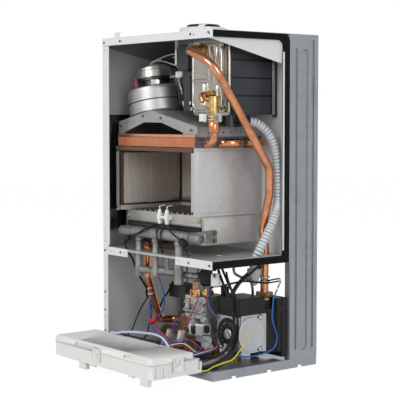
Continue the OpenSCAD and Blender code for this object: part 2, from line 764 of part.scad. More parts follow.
module at_fan() { translate([fan_x, fan_y, fan_base]) rotate([0, -hood_slope, 0]) children(); }
module at_casing() { at_fan() translate([-fan_shift, 0, 0]) children(); }
module duct_channel(grow) {
  box([fan_x + 20, duct_y[0] + 2 - grow, duct_z[0] + 2 - grow],
    [cond_left, duct_y[1] - 2 + grow, duct_z[1] - 2 + grow]);
}

module fan_volute() color("gainsboro") difference() {
  at_casing() rotate_extrude() polygon([[0, 0], [fan_r - 5, 0], [fan_r, 5],
    [fan_r, volute_h], [fan_r - 1.5, volute_h], [fan_r - 1.5, 5.5], [fan_r - 5.5, 1.5], [0, 1.5]]);
  at_fan() translate([0, 0, -1]) cylinder(r = wheel_r * 0.6, h = 4);
  duct_channel(0);
}

module fan_cover() color("gainsboro") difference() {
  at_casing() translate([0, 0, volute_h]) rotate_extrude() polygon([[0, fan_cover_h],
    [fan_r - 5, fan_cover_h], [fan_r - 2, fan_cover_h - 3], [fan_r - 1, fan_cover_h - 8],
    [fan_r - 1, 3], [fan_r + 1.5, 3], [fan_r + 1.5, 0], [fan_r - 2.5, 0],
    [fan_r - 2.5, fan_cover_h - 8.5], [fan_r - 4, fan_cover_h - 3.5], [fan_r - 6, fan_cover_h - 1.5],
    [0, fan_cover_h - 1.5]]);
  at_fan() translate([0, 0, fan_top - 4]) cylinder(r = shaft_r + 2, h = 6);
  duct_channel(0);
}

module fan_bracket() color("black") at_fan() difference() {
  union() {
    translate([0, 0, bracket_z]) linear_extrude(6) {
      circle(r = fan_motor_r + 2);
      for (a = arm_angles) rotate(a) translate([arm_r / 2, 0]) square([arm_r, 15], center = true);
      for (a = arm_angles) rotate(a) translate([arm_r, 0]) circle(r = 7.5);
    }
    translate([0, 0, bracket_z - 11]) cylinder(r = fan_motor_r - 2, h = 11);
  }
  translate([0, 0, bracket_z - 12]) cylinder(r = shaft_r + 1.5, h = 26);
  for (a = arm_angles) rotate(a) translate([arm_r, 0, bracket_z - 1]) cylinder(r = 2.6, h = 8);
}

module fan_grommets() color("brown") at_fan() for (a = arm_angles) rotate(a) {
  translate([arm_r, 0, volute_h + fan_cover_h]) rotate_extrude() polygon([[0, 0], [6.4, 0],
    [7.6, grommet_h / 2], [6.4, grommet_h], [2.4, grommet_h], [2.4, grommet_h + 6], [4.5, grommet_h + 6],
    [4.5, grommet_h + 8.5], [0, grommet_h + 8.5]]);
}

module fan_motor() color("silver") at_fan() translate([0, 0, motor_z]) rotate_extrude() polygon([
  [shaft_r + bearing_gap, 0], [fan_motor_r - 1, 0], [fan_motor_r, 2], [fan_motor_r, fan_motor_h * 0.6],
  [fan_motor_r - 1, fan_motor_h * 0.66], [fan_motor_r - 1, fan_motor_h - 5],
  [fan_motor_r - 5, fan_motor_h], [0, fan_motor_h], [0, fan_motor_h - 4],
  [shaft_r + bearing_gap, fan_motor_h - 4]]);

module fan_rotor() color("gray") at_fan() {
  wheel_z = 8;
  wheel_h = volute_h + fan_cover_h - 22;
  translate([0, 0, wheel_z]) cylinder(r = shaft_r, h = motor_z + fan_motor_h - 6 - wheel_z);
  translate([0, 0, wheel_z + wheel_h]) cylinder(r = wheel_r, h = 2);
  difference() {
    translate([0, 0, wheel_z]) cylinder(r = wheel_r, h = 1.5);
    translate([0, 0, wheel_z - 1]) cylinder(r = wheel_r * 0.62, h = 4);
  }
  for (k = [0:wheel_blades - 1]) rotate(360 * k / wheel_blades) translate([0, 0, wheel_z + 1])
    linear_extrude(wheel_h) polygon([[wheel_r * 0.66, 0], [wheel_r * 0.84, 3],
      [wheel_r - 1, 9], [wheel_r - 1.6, 10.5], [wheel_r * 0.83, 4.6], [wheel_r * 0.66, 1.6]]);
}

module fan_outlet_duct() color("dimgray") difference() {
  duct_channel(2);
  duct_channel(0);
  box([cond_left - 1, duct_y[0] + 2, duct_z[0] + 2], [cond_left + 1, duct_y[1] - 2, duct_z[1] - 2]);
  at_casing() translate([0, 0, -20]) cylinder(r = fan_r + 1.8, h = 160);
}

module pressure_switch() color("black") {
  x = cond_left - 25;
  z = cond_top - 36;
  front = cond_front - 14;
  translate([x, 0, z]) {
    plate_y(front, 3) polygon(round_rect(38, 54, 10));
    plate_y(front + 3, 18) polygon(round_rect(42, 58, 12));
    plate_y(front + 21, 4) polygon(round_rect(34, 50, 9));
  }
  rod_y(x - 10, front + 25, z + 10, 3, 11);
  rod_y(x + 10, front + 25, z + 10, 3, 11);
  box([x + 20, cond_front + 0.5, z - 12], [cond_left, cond_front + 9, z + 12]);
}
module condenser_housing() color("black") {
  difference() {
    box([cond_left, cond_front, cond_bottom], [cond_right - 3, chamber_y, cond_top]);
    box([cond_left + 3, cond_front - 1, cond_bottom + 3],
      [cond_right - 6, chamber_y - 3, cond_top - 3]);
    box([cond_left - 1, duct_y[0] + 2, duct_z[0] + 2], [cond_left + 4, duct_y[1] - 2, duct_z[1] - 2]);
  }
  for (k = [0:3]) {
    z = cond_bottom + 4 + 38 * k;
    box([cond_right - 3, cond_front + 4, z], [cond_right - 1.5, chamber_y - 14, z + 34]);
  }
  box([cond_right - 3, chamber_y - 12, cond_bottom - 6], [cond_right, chamber_y, cond_top - 4]);
  box([cond_left - 27, cond_front - 10, cond_bottom + 7], [cond_left - 3.3, cond_front + 14, cond_top - 74]);
  box([cond_left - 4, cond_front + 0.5, cond_bottom + 12], [cond_left + 1, cond_front + 12, cond_top - 80]);
  rod_z(142, -203, cond_bottom - 26, 11, 27);
  rod_y(142, -203, cond_bottom - 15, 10.5, 16.6);
}

module condenser_end_plate() color("silver") {
  mid_x = (cond_left + cond_right) / 2 - 1;
  mid_z = (cond_top + cond_bottom) / 2;
  translate([mid_x, 0, mid_z]) {
    plate_y(cond_front - 2, 2) polygon(round_rect(cond_w + 4, cond_h + 4, 10));
    plate_y(cond_front - 8, 6) polygon(round_rect(cond_w - 10, cond_h - 10, 12));
    plate_y(cond_front - 14, 6) polygon(round_rect(cond_w - 18, cond_h - 18, 14));
    for (x = [5, 23, 41]) {
      translate([x, cond_front - 14, 28]) scale([1, 0.5, 1])
        cylinder(r = 6, h = 80, center = true, $fn = 24);
    }
    translate([-12, cond_front - 14, -8]) rotate([0, 90, 0]) scale([1, 0.6, 1])
      cylinder(r = 4, h = 72, center = true, $fn = 20);
    for (sx = [-1, 1]) for (sz = [-1, 1]) {
      rod_y(sx * (cond_w / 2 - 10), cond_front - 17, sz * (cond_h / 2 - 12), 4, 4);
    }
  }
  for (i = [0:3]) for (k = [0:3]) {
    rod_y(cond_left + 20 + 27 * i, cond_front - 2, cond_bottom + 22 + 38 * k, 6, cond_d - 8);
  }
}

module hex_nut_y(x, y, z, flats, r, l) {
  plate_y(y, l) difference() {
    translate([x, z]) hexagon(flats);
    translate([x, z]) circle(r = r);
  }
}

module brass_unions() color("gold") {
  plate_front = cond_front - 14;
  hex_nut_y(80, plate_front - 12, 696, 24, return_r + 0.05, 9);
  rod_y(80, plate_front - 3, 696, 11, 3);
  hex_nut_y(113, plate_front - 10, 598, 19, 6.55, 7);
  rod_y(113, plate_front - 3, 598, 8, 3);
  difference() {
    union() {
      rod_z(link_x, link_y, 550, 10.5, 44);
      rod_z(link_x, link_y, 549, 12, 4);
      hull() {
        translate([link_x - 4, link_y - 2, 573]) sphere(r = 8, $fn = 20);
        translate([128, -258, 579]) sphere(r = 8, $fn = 20);
      }
    }
    rod_z(link_x, link_y, 540, link_r - 1, 46);
    swept([[116, -264, 592], [123.5, -261, 581.5], [128, -259, 576]], 6.9, 12);
  }
  difference() {
    rod_z(155, -115.6, 152, 16, 16);
    rod_z(155, -115.6, 151, return_r + 0.6, 18);
  }
}

module upper_copper_pipe() color("peru") {
  swept(rounded(return_route, [14, 45, 42, 60, 60, 60, 60], 5), return_r);
  swept(rounded(elbow_route, 9), 6.5, 12);
}

module link_pipe() color("peru") {
  x1 = fire_right + 8;
  swept(rounded([[x1, link_y, tube_z], [link_x, link_y, tube_z], [link_x, link_y, 549]], 14), link_r);
  difference() {
    rod_z(link_x, link_y, 517, 12, 28);
    rod_z(link_x, link_y, 516, link_r - 1, 30);
  }
}

module thin_copper_pipe() color("peru") {
  swept(curve(thin_route, 24), 3, 10);
}

module condensate_hose() color("lightslategray") {
  sides = 8;
  steps = 2 * hose_ribs;
  p = curve(hose_route, steps);
  radii = [for (i = [0:steps]) i < 10 || i > steps - 8 || i % 2 == 0 ? hose_r - 1.6 : hose_r];
  inner_at = [for (i = [0:8:steps]) i];
  q = [for (i = inner_at) p[i]];
  n = len(p);
  m = len(q);
  a = n * sides;
  polyhedron(
    concat(rings(p, radii, sides), rings(q, [for (i = q) hose_bore_r], sides)),
    concat(skin(n, sides, 0, false), skin(m, sides, a, true),
      ring_cap(0, a, sides), ring_cap(a + (m - 1) * sides, (n - 1) * sides, sides)),
    convexity = 8);
}

module condensate_trap() color("silver") {
  translate([172, -161, 188]) difference() {
    rotate_extrude() polygon([[0, 0], [4, 0], [8, 4], [15, 26], [15, 36], [0, 36]]);
    translate([0, 0, 30]) cylinder(r = hose_r + 1.2, h = 10);
  }
  box([166, -149, 214], [170, -143, floor_z - panel_t]);
}

module flow_pipe() color("peru") {
  swept(rounded(flow_route, [7.2, 12, 30, 12, 30, 30, 16, 14]), flow_r);
}

module pump_motor() color("silver") {
  difference() {
    union() {
      translate([pump_x, 0, pump_z]) {
        plate_y(pump_front + 8, pump_len - 8) polygon(round_rect(pump_w - 4, pump_w, 16));
        plate_y(pump_rear - 8, 8) polygon(round_rect(pump_w, pump_w, 5));
        plate_y(pump_front, 8) circle(r = dial_r + 3);
      }
    }
    rod_y(pump_x, pump_front + 10, pump_z, rotor_r + 2, pump_len - 16);
    rod_y(pump_x, shaft_front - 0.5, pump_z, shaft_r + bearing_gap, pump_len);
    rod_y(pump_x, pump_front - 1, pump_z, dial_r, 4);
    for (sx = [-1, 1]) for (sz = [-1, 1]) {
      rod_y(pump_x + sx * 32, pump_front, pump_z + sz * 32, 6, pump_len - 12);
    }
  }
  for (sx = [-1, 1]) for (sz = [-1, 1]) {
    rod_y(pump_x + sx * 32, pump_rear - 12, pump_z + sz * 32, 4, 4);
  }
}

module pump_dial_plate() color("black") {
  difference() {
    rod_y(pump_x, pump_front + 0.5, pump_z, dial_r - 0.3, 2.5);
    rod_y(pump_x, pump_front, pump_z, 9, 2);
  }
  difference() {
    rod_y(pump_x, pump_front - 1, pump_z, 6, 3);
    box([pump_x - 1, pump_front - 2, pump_z - 8], [pump_x + 1, pump_front, pump_z + 8]);
  }
}

module pump_rotor() color("dimgray") {
  rod_y(pump_x, pump_front + 14, pump_z, rotor_r, pump_len - 24);
  rod_y(pump_x, shaft_front, pump_z, shaft_r, pump_len + 4);
  rod_y(pump_x, pump_rear + 3, pump_z, rotor_r - 4, 7);
}

module pump_terminal_box() color("black") {
  z0 = pump_z + pump_w / 2;
  x0 = pump_x - 40;
  difference() {
    plate_y(pump_front, pump_len) translate([pump_x, z0 + terminal_h / 2])
      polygon(round_rect(pump_w + 2, terminal_h, 5));
    box([x0 - 1, pump_front - 1, z0 + 9], [x0 + 90, pump_front + 1, z0 + 10.5]);
  }
  rod_z(pump_x - 24, pump_front + 18, z0 + terminal_h - 1, 5.5, 7);
  rod_z(pump_x - 24, pump_front + 18, z0 + terminal_h + 6, 3.5, 5);
}

module hydraulic_block() color("black") {
  difference() {
    union() {
      translate([pump_x, 0, pump_z]) plate_y(pump_rear, 22) polygon(round_rect(70, 84, 12));
      box([block_x[0], pump_rear + 8, 40], [block_x[1] - 8, -98, 136]);
      rod_z(155, -115.6, 34, 18, 116);
      rod_z(155, -115.6, 130, 21, 10);
      rod_z(182, -100, 40, 12, 118);
      rod_z(182, -100, 128, 14, 12);
      for (z = [54, 74, 94, 114]) box([150, -100, z], [190, -91, z + 6]);
    }
    rod_y(pump_x, pump_rear - 1, pump_z, rotor_r + 1, 16);
    rod_z(155, -115.6, 141, return_r + 0.6, 30);
  }
  rod_y(175, -96, 60, 10, 12);
  box([block_x[0], stub_y - 12, 34], [block_x[0] + 22, -140, 46]);
  rod_z(tap_x, tap_y, tray_h + 8, spindle_r, 40 - tray_h - 8);
}

module flow_block() color("goldenrod") {
  difference() {
    union() {
      rod_z(-36, -180, 40, 19, 66);
      rod_z(-36, -180, 98, 22, 8);
      rod_x(-63, -180, 84, 11, 22);
      box([-56, -176, 48], [-18, -104, 112]);
      box([-76, -190, 48], [-40, -150, 70]);
    }
    rod_x(-64, -180, 84, flow_r + 0.1, 7.2);
  }
  rod_z(-36, -180, 106, 16, 34);
  difference() {
    translate([-49, -180, 140]) plate_z(0, 29) polygon(round_rect(62, 44, 5));
    for (z = [152, 158]) box([-81, -203, z], [-75, -157, z + 2]);
  }
}

module plate_heat_exchanger() color("silver") {
  for (k = [0:8]) {
    y = -148 + 5 * k;
    translate([51, 0, 80]) plate_y(y, 3.5) polygon(round_rect(137.8, 62, 12));
  }
  translate([51, 0, 80]) plate_y(-147, 42) polygon(round_rect(134, 58, 11));
}

module gas_valve() color("gainsboro") {
  difference() {
    union() {
      rod_z(58, -205, 74, 24, 46);
      translate([60, -205, 60]) plate_z(0, 14) polygon(round_rect(64, 62, 8));
      translate([62, -210, 112]) plate_z(0, 8) polygon(round_rect(66, 64, 8));
      translate([64, -208, 120]) plate_z(0, 34) polygon(round_rect(54, 56, 10));
      translate([62, -210, 154]) plate_z(0, 6) polygon(round_rect(66, 64, 8));
      rod_y(58, -245, 98, 15, 40);
      rod_y(58, -248, 98, 10, 4);
      rod_y(42, -243, 136, 7, 12);
      rod_y(82, -243, 140, 8, 12);
    }
    box([36, -250, 90], [46, -238, 106]);
    box([70, -250, 90], [80, -238, 106]);
    rod_z(valve_x, valve_y, valve_top - 10, rail_r - 2, 20);
  }
  rod_z(50, -206, 160, 20, 5);
  rod_z(50, -206, 165, 22, 24);
  rod_z(50, -206, 189, 8, 6);
}

module pipe_stubs() color("peru") {
  nut_top = tray_h + 8.2;
  for (x = stub_xs) difference() {
    union() {
      rod_z(x, stub_y, 2, stub_r, tray_h + 6.2);
      rod_z(x, stub_y, tray_h, stub_r + 5, 8.2);
      rod_z(x, stub_y, tray_h - frame_t - 2, stub_r + 4, 2);
    }
    rod_z(x, stub_y, 1, stub_r - 1.5, tray_h + 8);
  }
  swept(rounded([[stub_xs[0], stub_y, nut_top], [stub_xs[0], stub_y, 59], [-76, stub_y, 59]], 16),
    stub_r, 12);
  rod_z(stub_xs[1], stub_y, nut_top, stub_r, 48 - nut_top);
  swept(rounded([[stub_xs[2], stub_y, nut_top], [stub_xs[2], stub_y, 66], [stub_xs[2], -148, 66]],
    14), stub_r, 12);
  rod_z(stub_xs[3], stub_y, nut_top, stub_r, 60 - nut_top);
  rod_z(stub_xs[4], stub_y, nut_top, stub_r, 34 - nut_top);
}

module star_knob(r, h) {
  cylinder(r = r, h = h);
  for (a = [0:60:300]) rotate(a) translate([r - 1, 0, 0]) cylinder(r = 3, h = h, $fn = 16);
}

module filling_tap_knob() color("black") {
  translate([tap_x, tap_y, tray_h + 3]) difference() {
    star_knob(8, 13);
    translate([0, 0, 4]) cylinder(r = spindle_r + 0.05, h = 10);
  }
}

// Rounded outline of the control box, seen from above in its open pose
module box_outline(grow) {
  translate([(box_x0 + box_x1) / 2, (box_y0 + box_y1) / 2])
    polygon(round_rect(box_w + 2 * grow, box_h + 2 * grow, 9 + grow));
}

module box_shell() color("white") {
  shell_h = box_d - cover_d;
  difference() {
    plate_z(box_z0, shell_h) box_outline(0);
    plate_z(box_z0 + box_t, shell_h) box_outline(-box_t);
    for (x = knob_xs) rod_z(x, knob_y, box_z0 - 1, 4.3, box_t + 2);
    box([-50, knob_y - 14, box_z0 - 1], [10, knob_y + 14, box_z0 + box_t + 1]);
  }
  for (x = hinge_xs) plate_x(x - 3, 6) difference() {
    polygon(concat(arc(hinge_y, hinge_z, 6, -90, 90, 8), [[hinge_y - 9, hinge_z + 6],
      [hinge_y - 10, box_z0 + 12], [box_y1 - 1, box_z0 + 12], [box_y1 - 1, box_z0 + 0.5]]));
    translate([hinge_y, hinge_z]) circle(r = pin_r + 0.1);
  }
  for (x = [box_x0 + 113, box_x1 - 23]) {
    box([x - 13, box_y0 + 1, box_z0 - 15], [x + 13, box_y0 + 3, box_z0 + 1]);
    for (s = [-13, -1, 11]) box([x + s, box_y0 + 1, box_z0 - 15], [x + s + 2, box_y0 + 11, box_z0 + 1]);
  }
  for (x = [box_x0 + 152, box_x1 - 70]) box([x - 9, box_y0 + 1, box_z0 - 4], [x + 9, box_y0 + 7, box_z0 + 1]);
  box([box_x1 - 40, box_y1 - 1, box_z0 + 1], [box_x1, box_y1 + 3.4, box_z0 + 24]);
  for (y = [6, 26, 46]) box([box_x1 - 1, box_y0 + y, box_z0], [box_x1 + 2, box_y0 + y + 4, box_z0 + 24]);
}

// Snap latch of the cover that reaches down over the shell
module latch() {
  difference() {
    plate_y(-2, 2) polygon([[-14, 9], [-14, -16], [-9, -20], [14, -20], [14, 9]]);
    plate_y(-3, 2) difference() {
      square([18, 18], center = true);
      square([9, 9], center = true);
    }
  }
}

module box_cover() color("whitesmoke") {
  z0 = box_z1 - cover_d;
  difference() {
    hull() {
      plate_z(z0 + 3, cover_d - 7) box_outline(0);
      plate_z(box_z1 - 0.5, 0.5) box_outline(-5);
    }
    box([box_x0 + 90, box_y0 + 8, box_z1 - 0.9], [box_x1 - 90, box_y1 + 1, box_z1 + 1]);
    plate_z(z0 - 1, cover_d - box_t + 1) box_outline(-box_t - 2);
    box([-60, box_y1 - 6, z0 - 1], [100, box_y1 + 2, z0 + 10]);
    for (x = [box_x0 + 90, box_x1 - 90]) box([x, box_y0 - 1, z0 + 5], [x + 2.5, box_y0 + 3, box_z1 - 4]);
  }
  difference() {
    plate_z(z0, 3.1) box_outline(0.6);
    plate_z(z0 - 1, 5) box_outline(-box_t - 2);
    box([-60, box_y1 - 6, z0 - 1], [100, box_y1 + 2, z0 + 10]);
  }
  translate([-10, box_y0, z0]) latch();
  translate([box_x1, box_y0 + 71, z0]) rotate(90) latch();
}

module circuit_board() color("darkgreen") {
  box([box_x0 + 20, box_y0 + 10, box_z0 + 14], [box_x1 - 20, box_y1 - 8, box_z0 + 15.6]);
  for (x = [box_x0 + 30, box_x1 - 30]) for (y = [box_y0 + 20, box_y1 - 18]) {
    rod_z(x, y, box_z0 + box_t, 3, 14 - box_t);
  }
  for (x = [-150:34:100]) box([x, box_y0 + 16, box_z0 + 15.6], [x + 24, box_y0 + 28, box_z0 + 25]);
  box([-50, knob_y - 14, box_z0 + box_t + 0.3], [10, knob_y + 14, box_z0 + 14]);
}

module setting_knob(x) {
  translate([x, knob_y, box_z0]) {
    translate([0, 0, -10]) cylinder(r1 = knob_r - 1.5, r2 = knob_r, h = 10 - run_gap, $fn = 48);
    translate([0, 0, -1]) cylinder(r = 4, h = box_t + 8);
    translate([0, 0, -12]) linear_extrude(3) polygon(round_rect(2 * knob_r - 6, 5, 2));
  }
}

module setting_knob_left() color("gray") setting_knob(knob_xs[0]);
module setting_knob_right() color("gray") setting_knob(knob_xs[1]);
module box_harness() color("black") swept(curve(harness_route, 22), 4, 8);

rear_frame();
chamber_rear_wall();
expansion_vessel();
left_side_panel();
top_panel();
chamber_floor();
floor_gland_plate();
chamber_seal();
base_tray();
left_heat_shield();
flue_adaptor();
flue_gasket();
combustion_chamber();
insulation_boards();
burner_casing();
burner_bars();
burner_front_strip();
gas_manifold();
injector_nozzles();
gas_risers();
lower_gas_rail();
ignition_electrodes();
ignition_transformer();
exchanger_fins();
exchanger_tubes();
exchanger_end_plates();
fume_hood();
fan_volute();
fan_cover();
fan_bracket();
fan_grommets();
fan_motor();
fan_rotor();
fan_outlet_duct();
pressure_switch();
condenser_housing();
condenser_end_plate();
thin_copper_pipe();
brass_unions();
upper_copper_pipe();
link_pipe();
condensate_hose();
condensate_trap();
flow_pipe();
pump_motor();
pump_dial_plate();
pump_rotor();
pump_terminal_box();
hydraulic_block();
flow_block();
plate_heat_exchanger();
gas_valve();
pipe_stubs();
filling_tap_knob();
box_shell();
box_cover();
circuit_board();
setting_knob_left();
setting_knob_right();
box_harness();
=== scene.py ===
import math

import bpy
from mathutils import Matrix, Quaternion, Vector


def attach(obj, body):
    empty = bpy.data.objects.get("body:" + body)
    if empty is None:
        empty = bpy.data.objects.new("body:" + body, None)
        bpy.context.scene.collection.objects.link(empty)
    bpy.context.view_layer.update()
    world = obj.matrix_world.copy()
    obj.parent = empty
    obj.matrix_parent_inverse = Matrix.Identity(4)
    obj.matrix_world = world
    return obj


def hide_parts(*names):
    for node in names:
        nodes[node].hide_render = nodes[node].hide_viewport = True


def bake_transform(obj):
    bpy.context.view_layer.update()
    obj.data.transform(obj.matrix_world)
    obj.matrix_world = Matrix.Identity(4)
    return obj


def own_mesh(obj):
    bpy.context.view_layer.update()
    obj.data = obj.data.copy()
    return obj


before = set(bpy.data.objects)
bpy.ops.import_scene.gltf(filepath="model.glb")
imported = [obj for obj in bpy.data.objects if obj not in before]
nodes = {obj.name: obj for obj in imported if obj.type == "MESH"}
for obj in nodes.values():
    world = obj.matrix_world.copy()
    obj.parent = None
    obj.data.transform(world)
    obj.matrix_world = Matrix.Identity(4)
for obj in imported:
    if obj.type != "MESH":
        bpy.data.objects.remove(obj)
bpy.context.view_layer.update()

MM = 0.001
CABINET, BOX, CROSSING = "boiler", "control_box", "crossing"
UP, DOWN, FRONT, BACK, RIGHT = (0, 0, 1), (0, 0, -1), (0, -1, 0), (0, 1, 0), (1, 0, 0)


# Finishes

def operator(kind, swapped=False):
    """A Math node of one kind, as a method of Wire."""
    def act(self, other):
        return self.graph.node("Math", {"operation": kind}, *((other, self) if swapped else (self, other)))
    return act


class Wire:
    """An output in a node graph that adds Math nodes when it is used in sums."""

    __add__, __radd__ = operator("ADD"), operator("ADD", True)
    __sub__, __rsub__ = operator("SUBTRACT"), operator("SUBTRACT", True)
    __mul__, __rmul__ = operator("MULTIPLY"), operator("MULTIPLY", True)

    def __init__(self, graph, socket):
        self.graph, self.socket = graph, socket

    def above(self, low, high):
        """0 below low, 1 above high and smooth between them."""
        return self.graph.node("MapRange", {"interpolation_type": "SMOOTHSTEP"}, self, low, high, 0.0, 1.0)


class Graph:
    """A node graph that is built by calls."""

    def __init__(self, tree):
        self.tree = tree

    def feed(self, socket, value):
        """Links a wire to a socket, or gives the socket a value."""
        if isinstance(value, Wire):
            self.tree.links.new(value.socket, socket)
        elif isinstance(value, tuple) and socket.type == "RGBA":
            socket.default_value = (*value, 1.0)
        else:
            socket.default_value = value

    def node(self, kind, settings=None, *values, out=0, **named):
        """Adds a node: its settings first, then its sockets' values or links. None leaves one alone."""
        made = self.tree.nodes.new("ShaderNode" + kind)
        for name, value in (settings or {}).items():
            setattr(made, name, value)
        for socket, value in zip(made.inputs, values):
            if value is not None:
                self.feed(socket, value)
        for name, value in named.items():
            self.feed(made.inputs[name.replace("_", " ")], value)
        return Wire(self, made.outputs[out]) if made.outputs else made


class Look(Graph):
    """One finish: a principled shader whose pattern lies in the object's own coordinates."""

    def __init__(self, name, colour, roughness, metallic=0.0, **fixed):
        self.material = bpy.data.materials.new(name)
        self.material.use_nodes = True
        super().__init__(self.material.node_tree)
        self.tree.nodes.clear()
        self.shader = self.node("BsdfPrincipled")
        self.output = self.node("OutputMaterial", None, self.shader)
        self.place = self.node("TexCoord", out="Object")
        self.x, self.y, self.z = (self.node("SeparateXYZ", None, self.place, out=i) for i in range(3))
        self.set(Base_Color=colour, Roughness=roughness, Metallic=metallic, **fixed)

    def set(self, **values):
        """Feeds sockets of the principled shader."""
        for name, value in values.items():
            self.feed(self.shader.socket.node.inputs[name.replace("_", " ")], value)

    def stretched(self, stretch):
        """The object's coordinates, scaled along each axis."""
        return self.node("VectorMath", {"operation": "MULTIPLY"}, self.place, stretch)

    def grain(self, size, detail=3.0, rough=0.55, stretch=(1.0, 1.0, 1.0)):
        """Cloudy noise from 0 to 1, its lumps about size metres across."""
        return self.node("TexNoise", None, Vector=self.stretched(stretch), Scale=1 / size,
                         Detail=detail, Roughness=rough)

    def cells(self, size, stretch=(1.0, 1.0, 1.0)):
        """A flat random value in each crystal, about size metres across."""
        colour = self.node("TexVoronoi", None, Vector=self.stretched(stretch), Scale=1 / size, out="Color")
        return self.node("SeparateXYZ", None, colour)

    def mix(self, amount, first, second):
        """A colour between two, in the colour sockets of a Mix node."""
        return self.node("Mix", {"data_type": "RGBA"}, amount, *[None] * 5, first, second, out=2)

    def done(self, height, depth, strength, **values):
        """Sets the pattern and its bump, and gives the material."""
        self.set(Normal=self.node("Bump", None, Strength=strength, Distance=depth, Height=height), **values)
        return self.material


WHITE = (0.70, 0.70, 0.705)  # the stoved paint of the cabinet


def shade(colour, amount, lift=0.0):
    """A colour made darker or brighter."""
    return tuple(min(1.0, c * amount + lift) for c in colour)


def enamel(name, colour, roughness=0.32, dirt=0.05):
    """Stoved paint on sheet: a fine orange peel, faint handling marks and a dull film."""
    look = Look(name, colour, roughness, Coat_Weight=0.25, Coat_Roughness=0.2)
    film = look.grain(0.06, 4.0)
    marks = look.grain(0.012, 5.0, 0.7, (1.0, 1.0, 0.35)).above(0.60, 0.72)
    return look.done(look.grain(0.0016, 2.0), 0.00006, 0.6, Roughness=film * 0.18 + roughness - 0.08,
                     Base_Color=look.mix(film * dirt * 3 + marks * dirt, colour, shade(colour, 0.80)))


def sheet_metal(name, colour, roughness, spangle, contrast, metallic):
    """Zinc-coated sheet with its crystal spangle, wiped and slightly stained."""
    look = Look(name, colour, roughness, metallic)
    crystal = look.cells(spangle) * 0.7 + look.grain(0.03, 4.0) * 0.3
    stain = look.grain(0.09, 5.0, 0.65).above(0.52, 0.72)
    spangled = look.mix(crystal, shade(colour, 1 - contrast), shade(colour, 1 + contrast))
    return look.done(look.grain(0.004, 3.0), 0.00008, 0.5,
                     Base_Color=look.mix(stain * 0.4, spangled, shade(colour, 0.6)),
                     Roughness=crystal * 0.14 + stain * 0.12 + roughness - 0.07)


def brushed(name, colour, roughness=0.24, stretch=(1.0, 1.0, 22.0), tint=None):
    """Rolled or brushed metal: long scratches across, soft heat tint and finger marks."""
    look = Look(name, colour, roughness, 1.0)
    scratches = look.grain(0.006, 5.0, 0.7, stretch)
    haze = look.grain(0.045, 4.0, 0.6)
    clean = look.mix(scratches, shade(colour, 0.86), colour)
    return look.done(scratches, 0.00005, 0.5, Roughness=scratches * 0.16 + haze * 0.14 + roughness - 0.12,
                     Base_Color=look.mix(haze.above(0.42, 0.75) * 0.75, clean, tint or shade(colour, 0.72)))


def cast(name, colour, roughness, metallic):
    """Die-cast metal with a sandy skin and grey stains in its hollows."""
    look = Look(name, colour, roughness, metallic)
    sand = look.grain(0.0012, 3.0)
    cloud = look.grain(0.02, 5.0, 0.65)
    return look.done(sand, 0.00012, 0.7, Roughness=sand * 0.2 + cloud * 0.1 + roughness - 0.1,
                     Base_Color=look.mix(cloud.above(0.35, 0.7), shade(colour, 0.62), colour))


def copper(name, tarnish=0.35):
    """Drawn copper tube, pink and bright in places, brown where it was hot or handled."""
    look = Look(name, (0.86, 0.42, 0.27), 0.25, 1.0)
    spots = look.grain(0.006, 4.0, 0.7).above(0.58, 0.7)
    brown = look.grain(0.035, 6.0, 0.6).above(0.62 - tarnish * 0.5, 0.8)
    clean = look.mix(look.grain(0.012, 3.0), (0.76, 0.36, 0.20), (0.52, 0.21, 0.10))
    return look.done(look.grain(0.003, 3.0), 0.00005, 0.5,
                     Base_Color=look.mix(brown * 0.75 + spots * 0.2, clean, (0.24, 0.10, 0.05)),
                     Roughness=brown * 0.2 + look.grain(0.004, 4.0) * 0.12 + 0.12)


def brass(name, colour):
    """Turned brass, tarnished in clouds."""
    look = Look(name, colour, 0.3, 1.0)
    cloud = look.grain(0.012, 5.0, 0.6)
    return look.done(look.grain(0.0015, 3.0), 0.00008, 0.6, Roughness=cloud * 0.3 + 0.16,
                     Base_Color=look.mix(cloud.above(0.4, 0.72), colour, shade(colour, 0.5)))


def moulded(name, colour, roughness=0.42, grain=0.0009, depth=0.00005, dirt=0.12, **fixed):
    """Moulded plastic with a fine spark-eroded skin and dust in it."""
    look = Look(name, colour, roughness, **fixed)
    cloud = look.grain(0.03, 5.0, 0.6)
    dusty = look.mix(cloud.above(0.45, 0.8) * dirt * 4, colour, shade(colour, 1.1, 0.05))
    return look.done(look.grain(grain, 2.0), depth, 0.6, Base_Color=dusty,
                     Roughness=cloud * 0.2 + roughness - 0.1)


def wire_skin(name, colour, roughness=0.34, dirt=0.02, **fixed):
    """The insulation of a thin wire: smooth, with a little dust."""
    return moulded("wire_" + name, colour, roughness, 0.0004, 0.00002, dirt, **fixed)


def soft(name, colour, roughness, size=0.0008, depth=0.0002, dust=0.006, **fixed):
    """Foam and rubber: open pores and a matt, dusty skin."""
    look = Look(name, colour, roughness, **fixed)
    pores = look.grain(size, 3.0, 0.7)
    return look.done(pores, depth, 0.8, Roughness=pores * 0.2 + roughness - 0.1,
                     Base_Color=look.mix(pores * look.grain(0.02, 3.0), colour, shade(colour, 1.5, dust)))


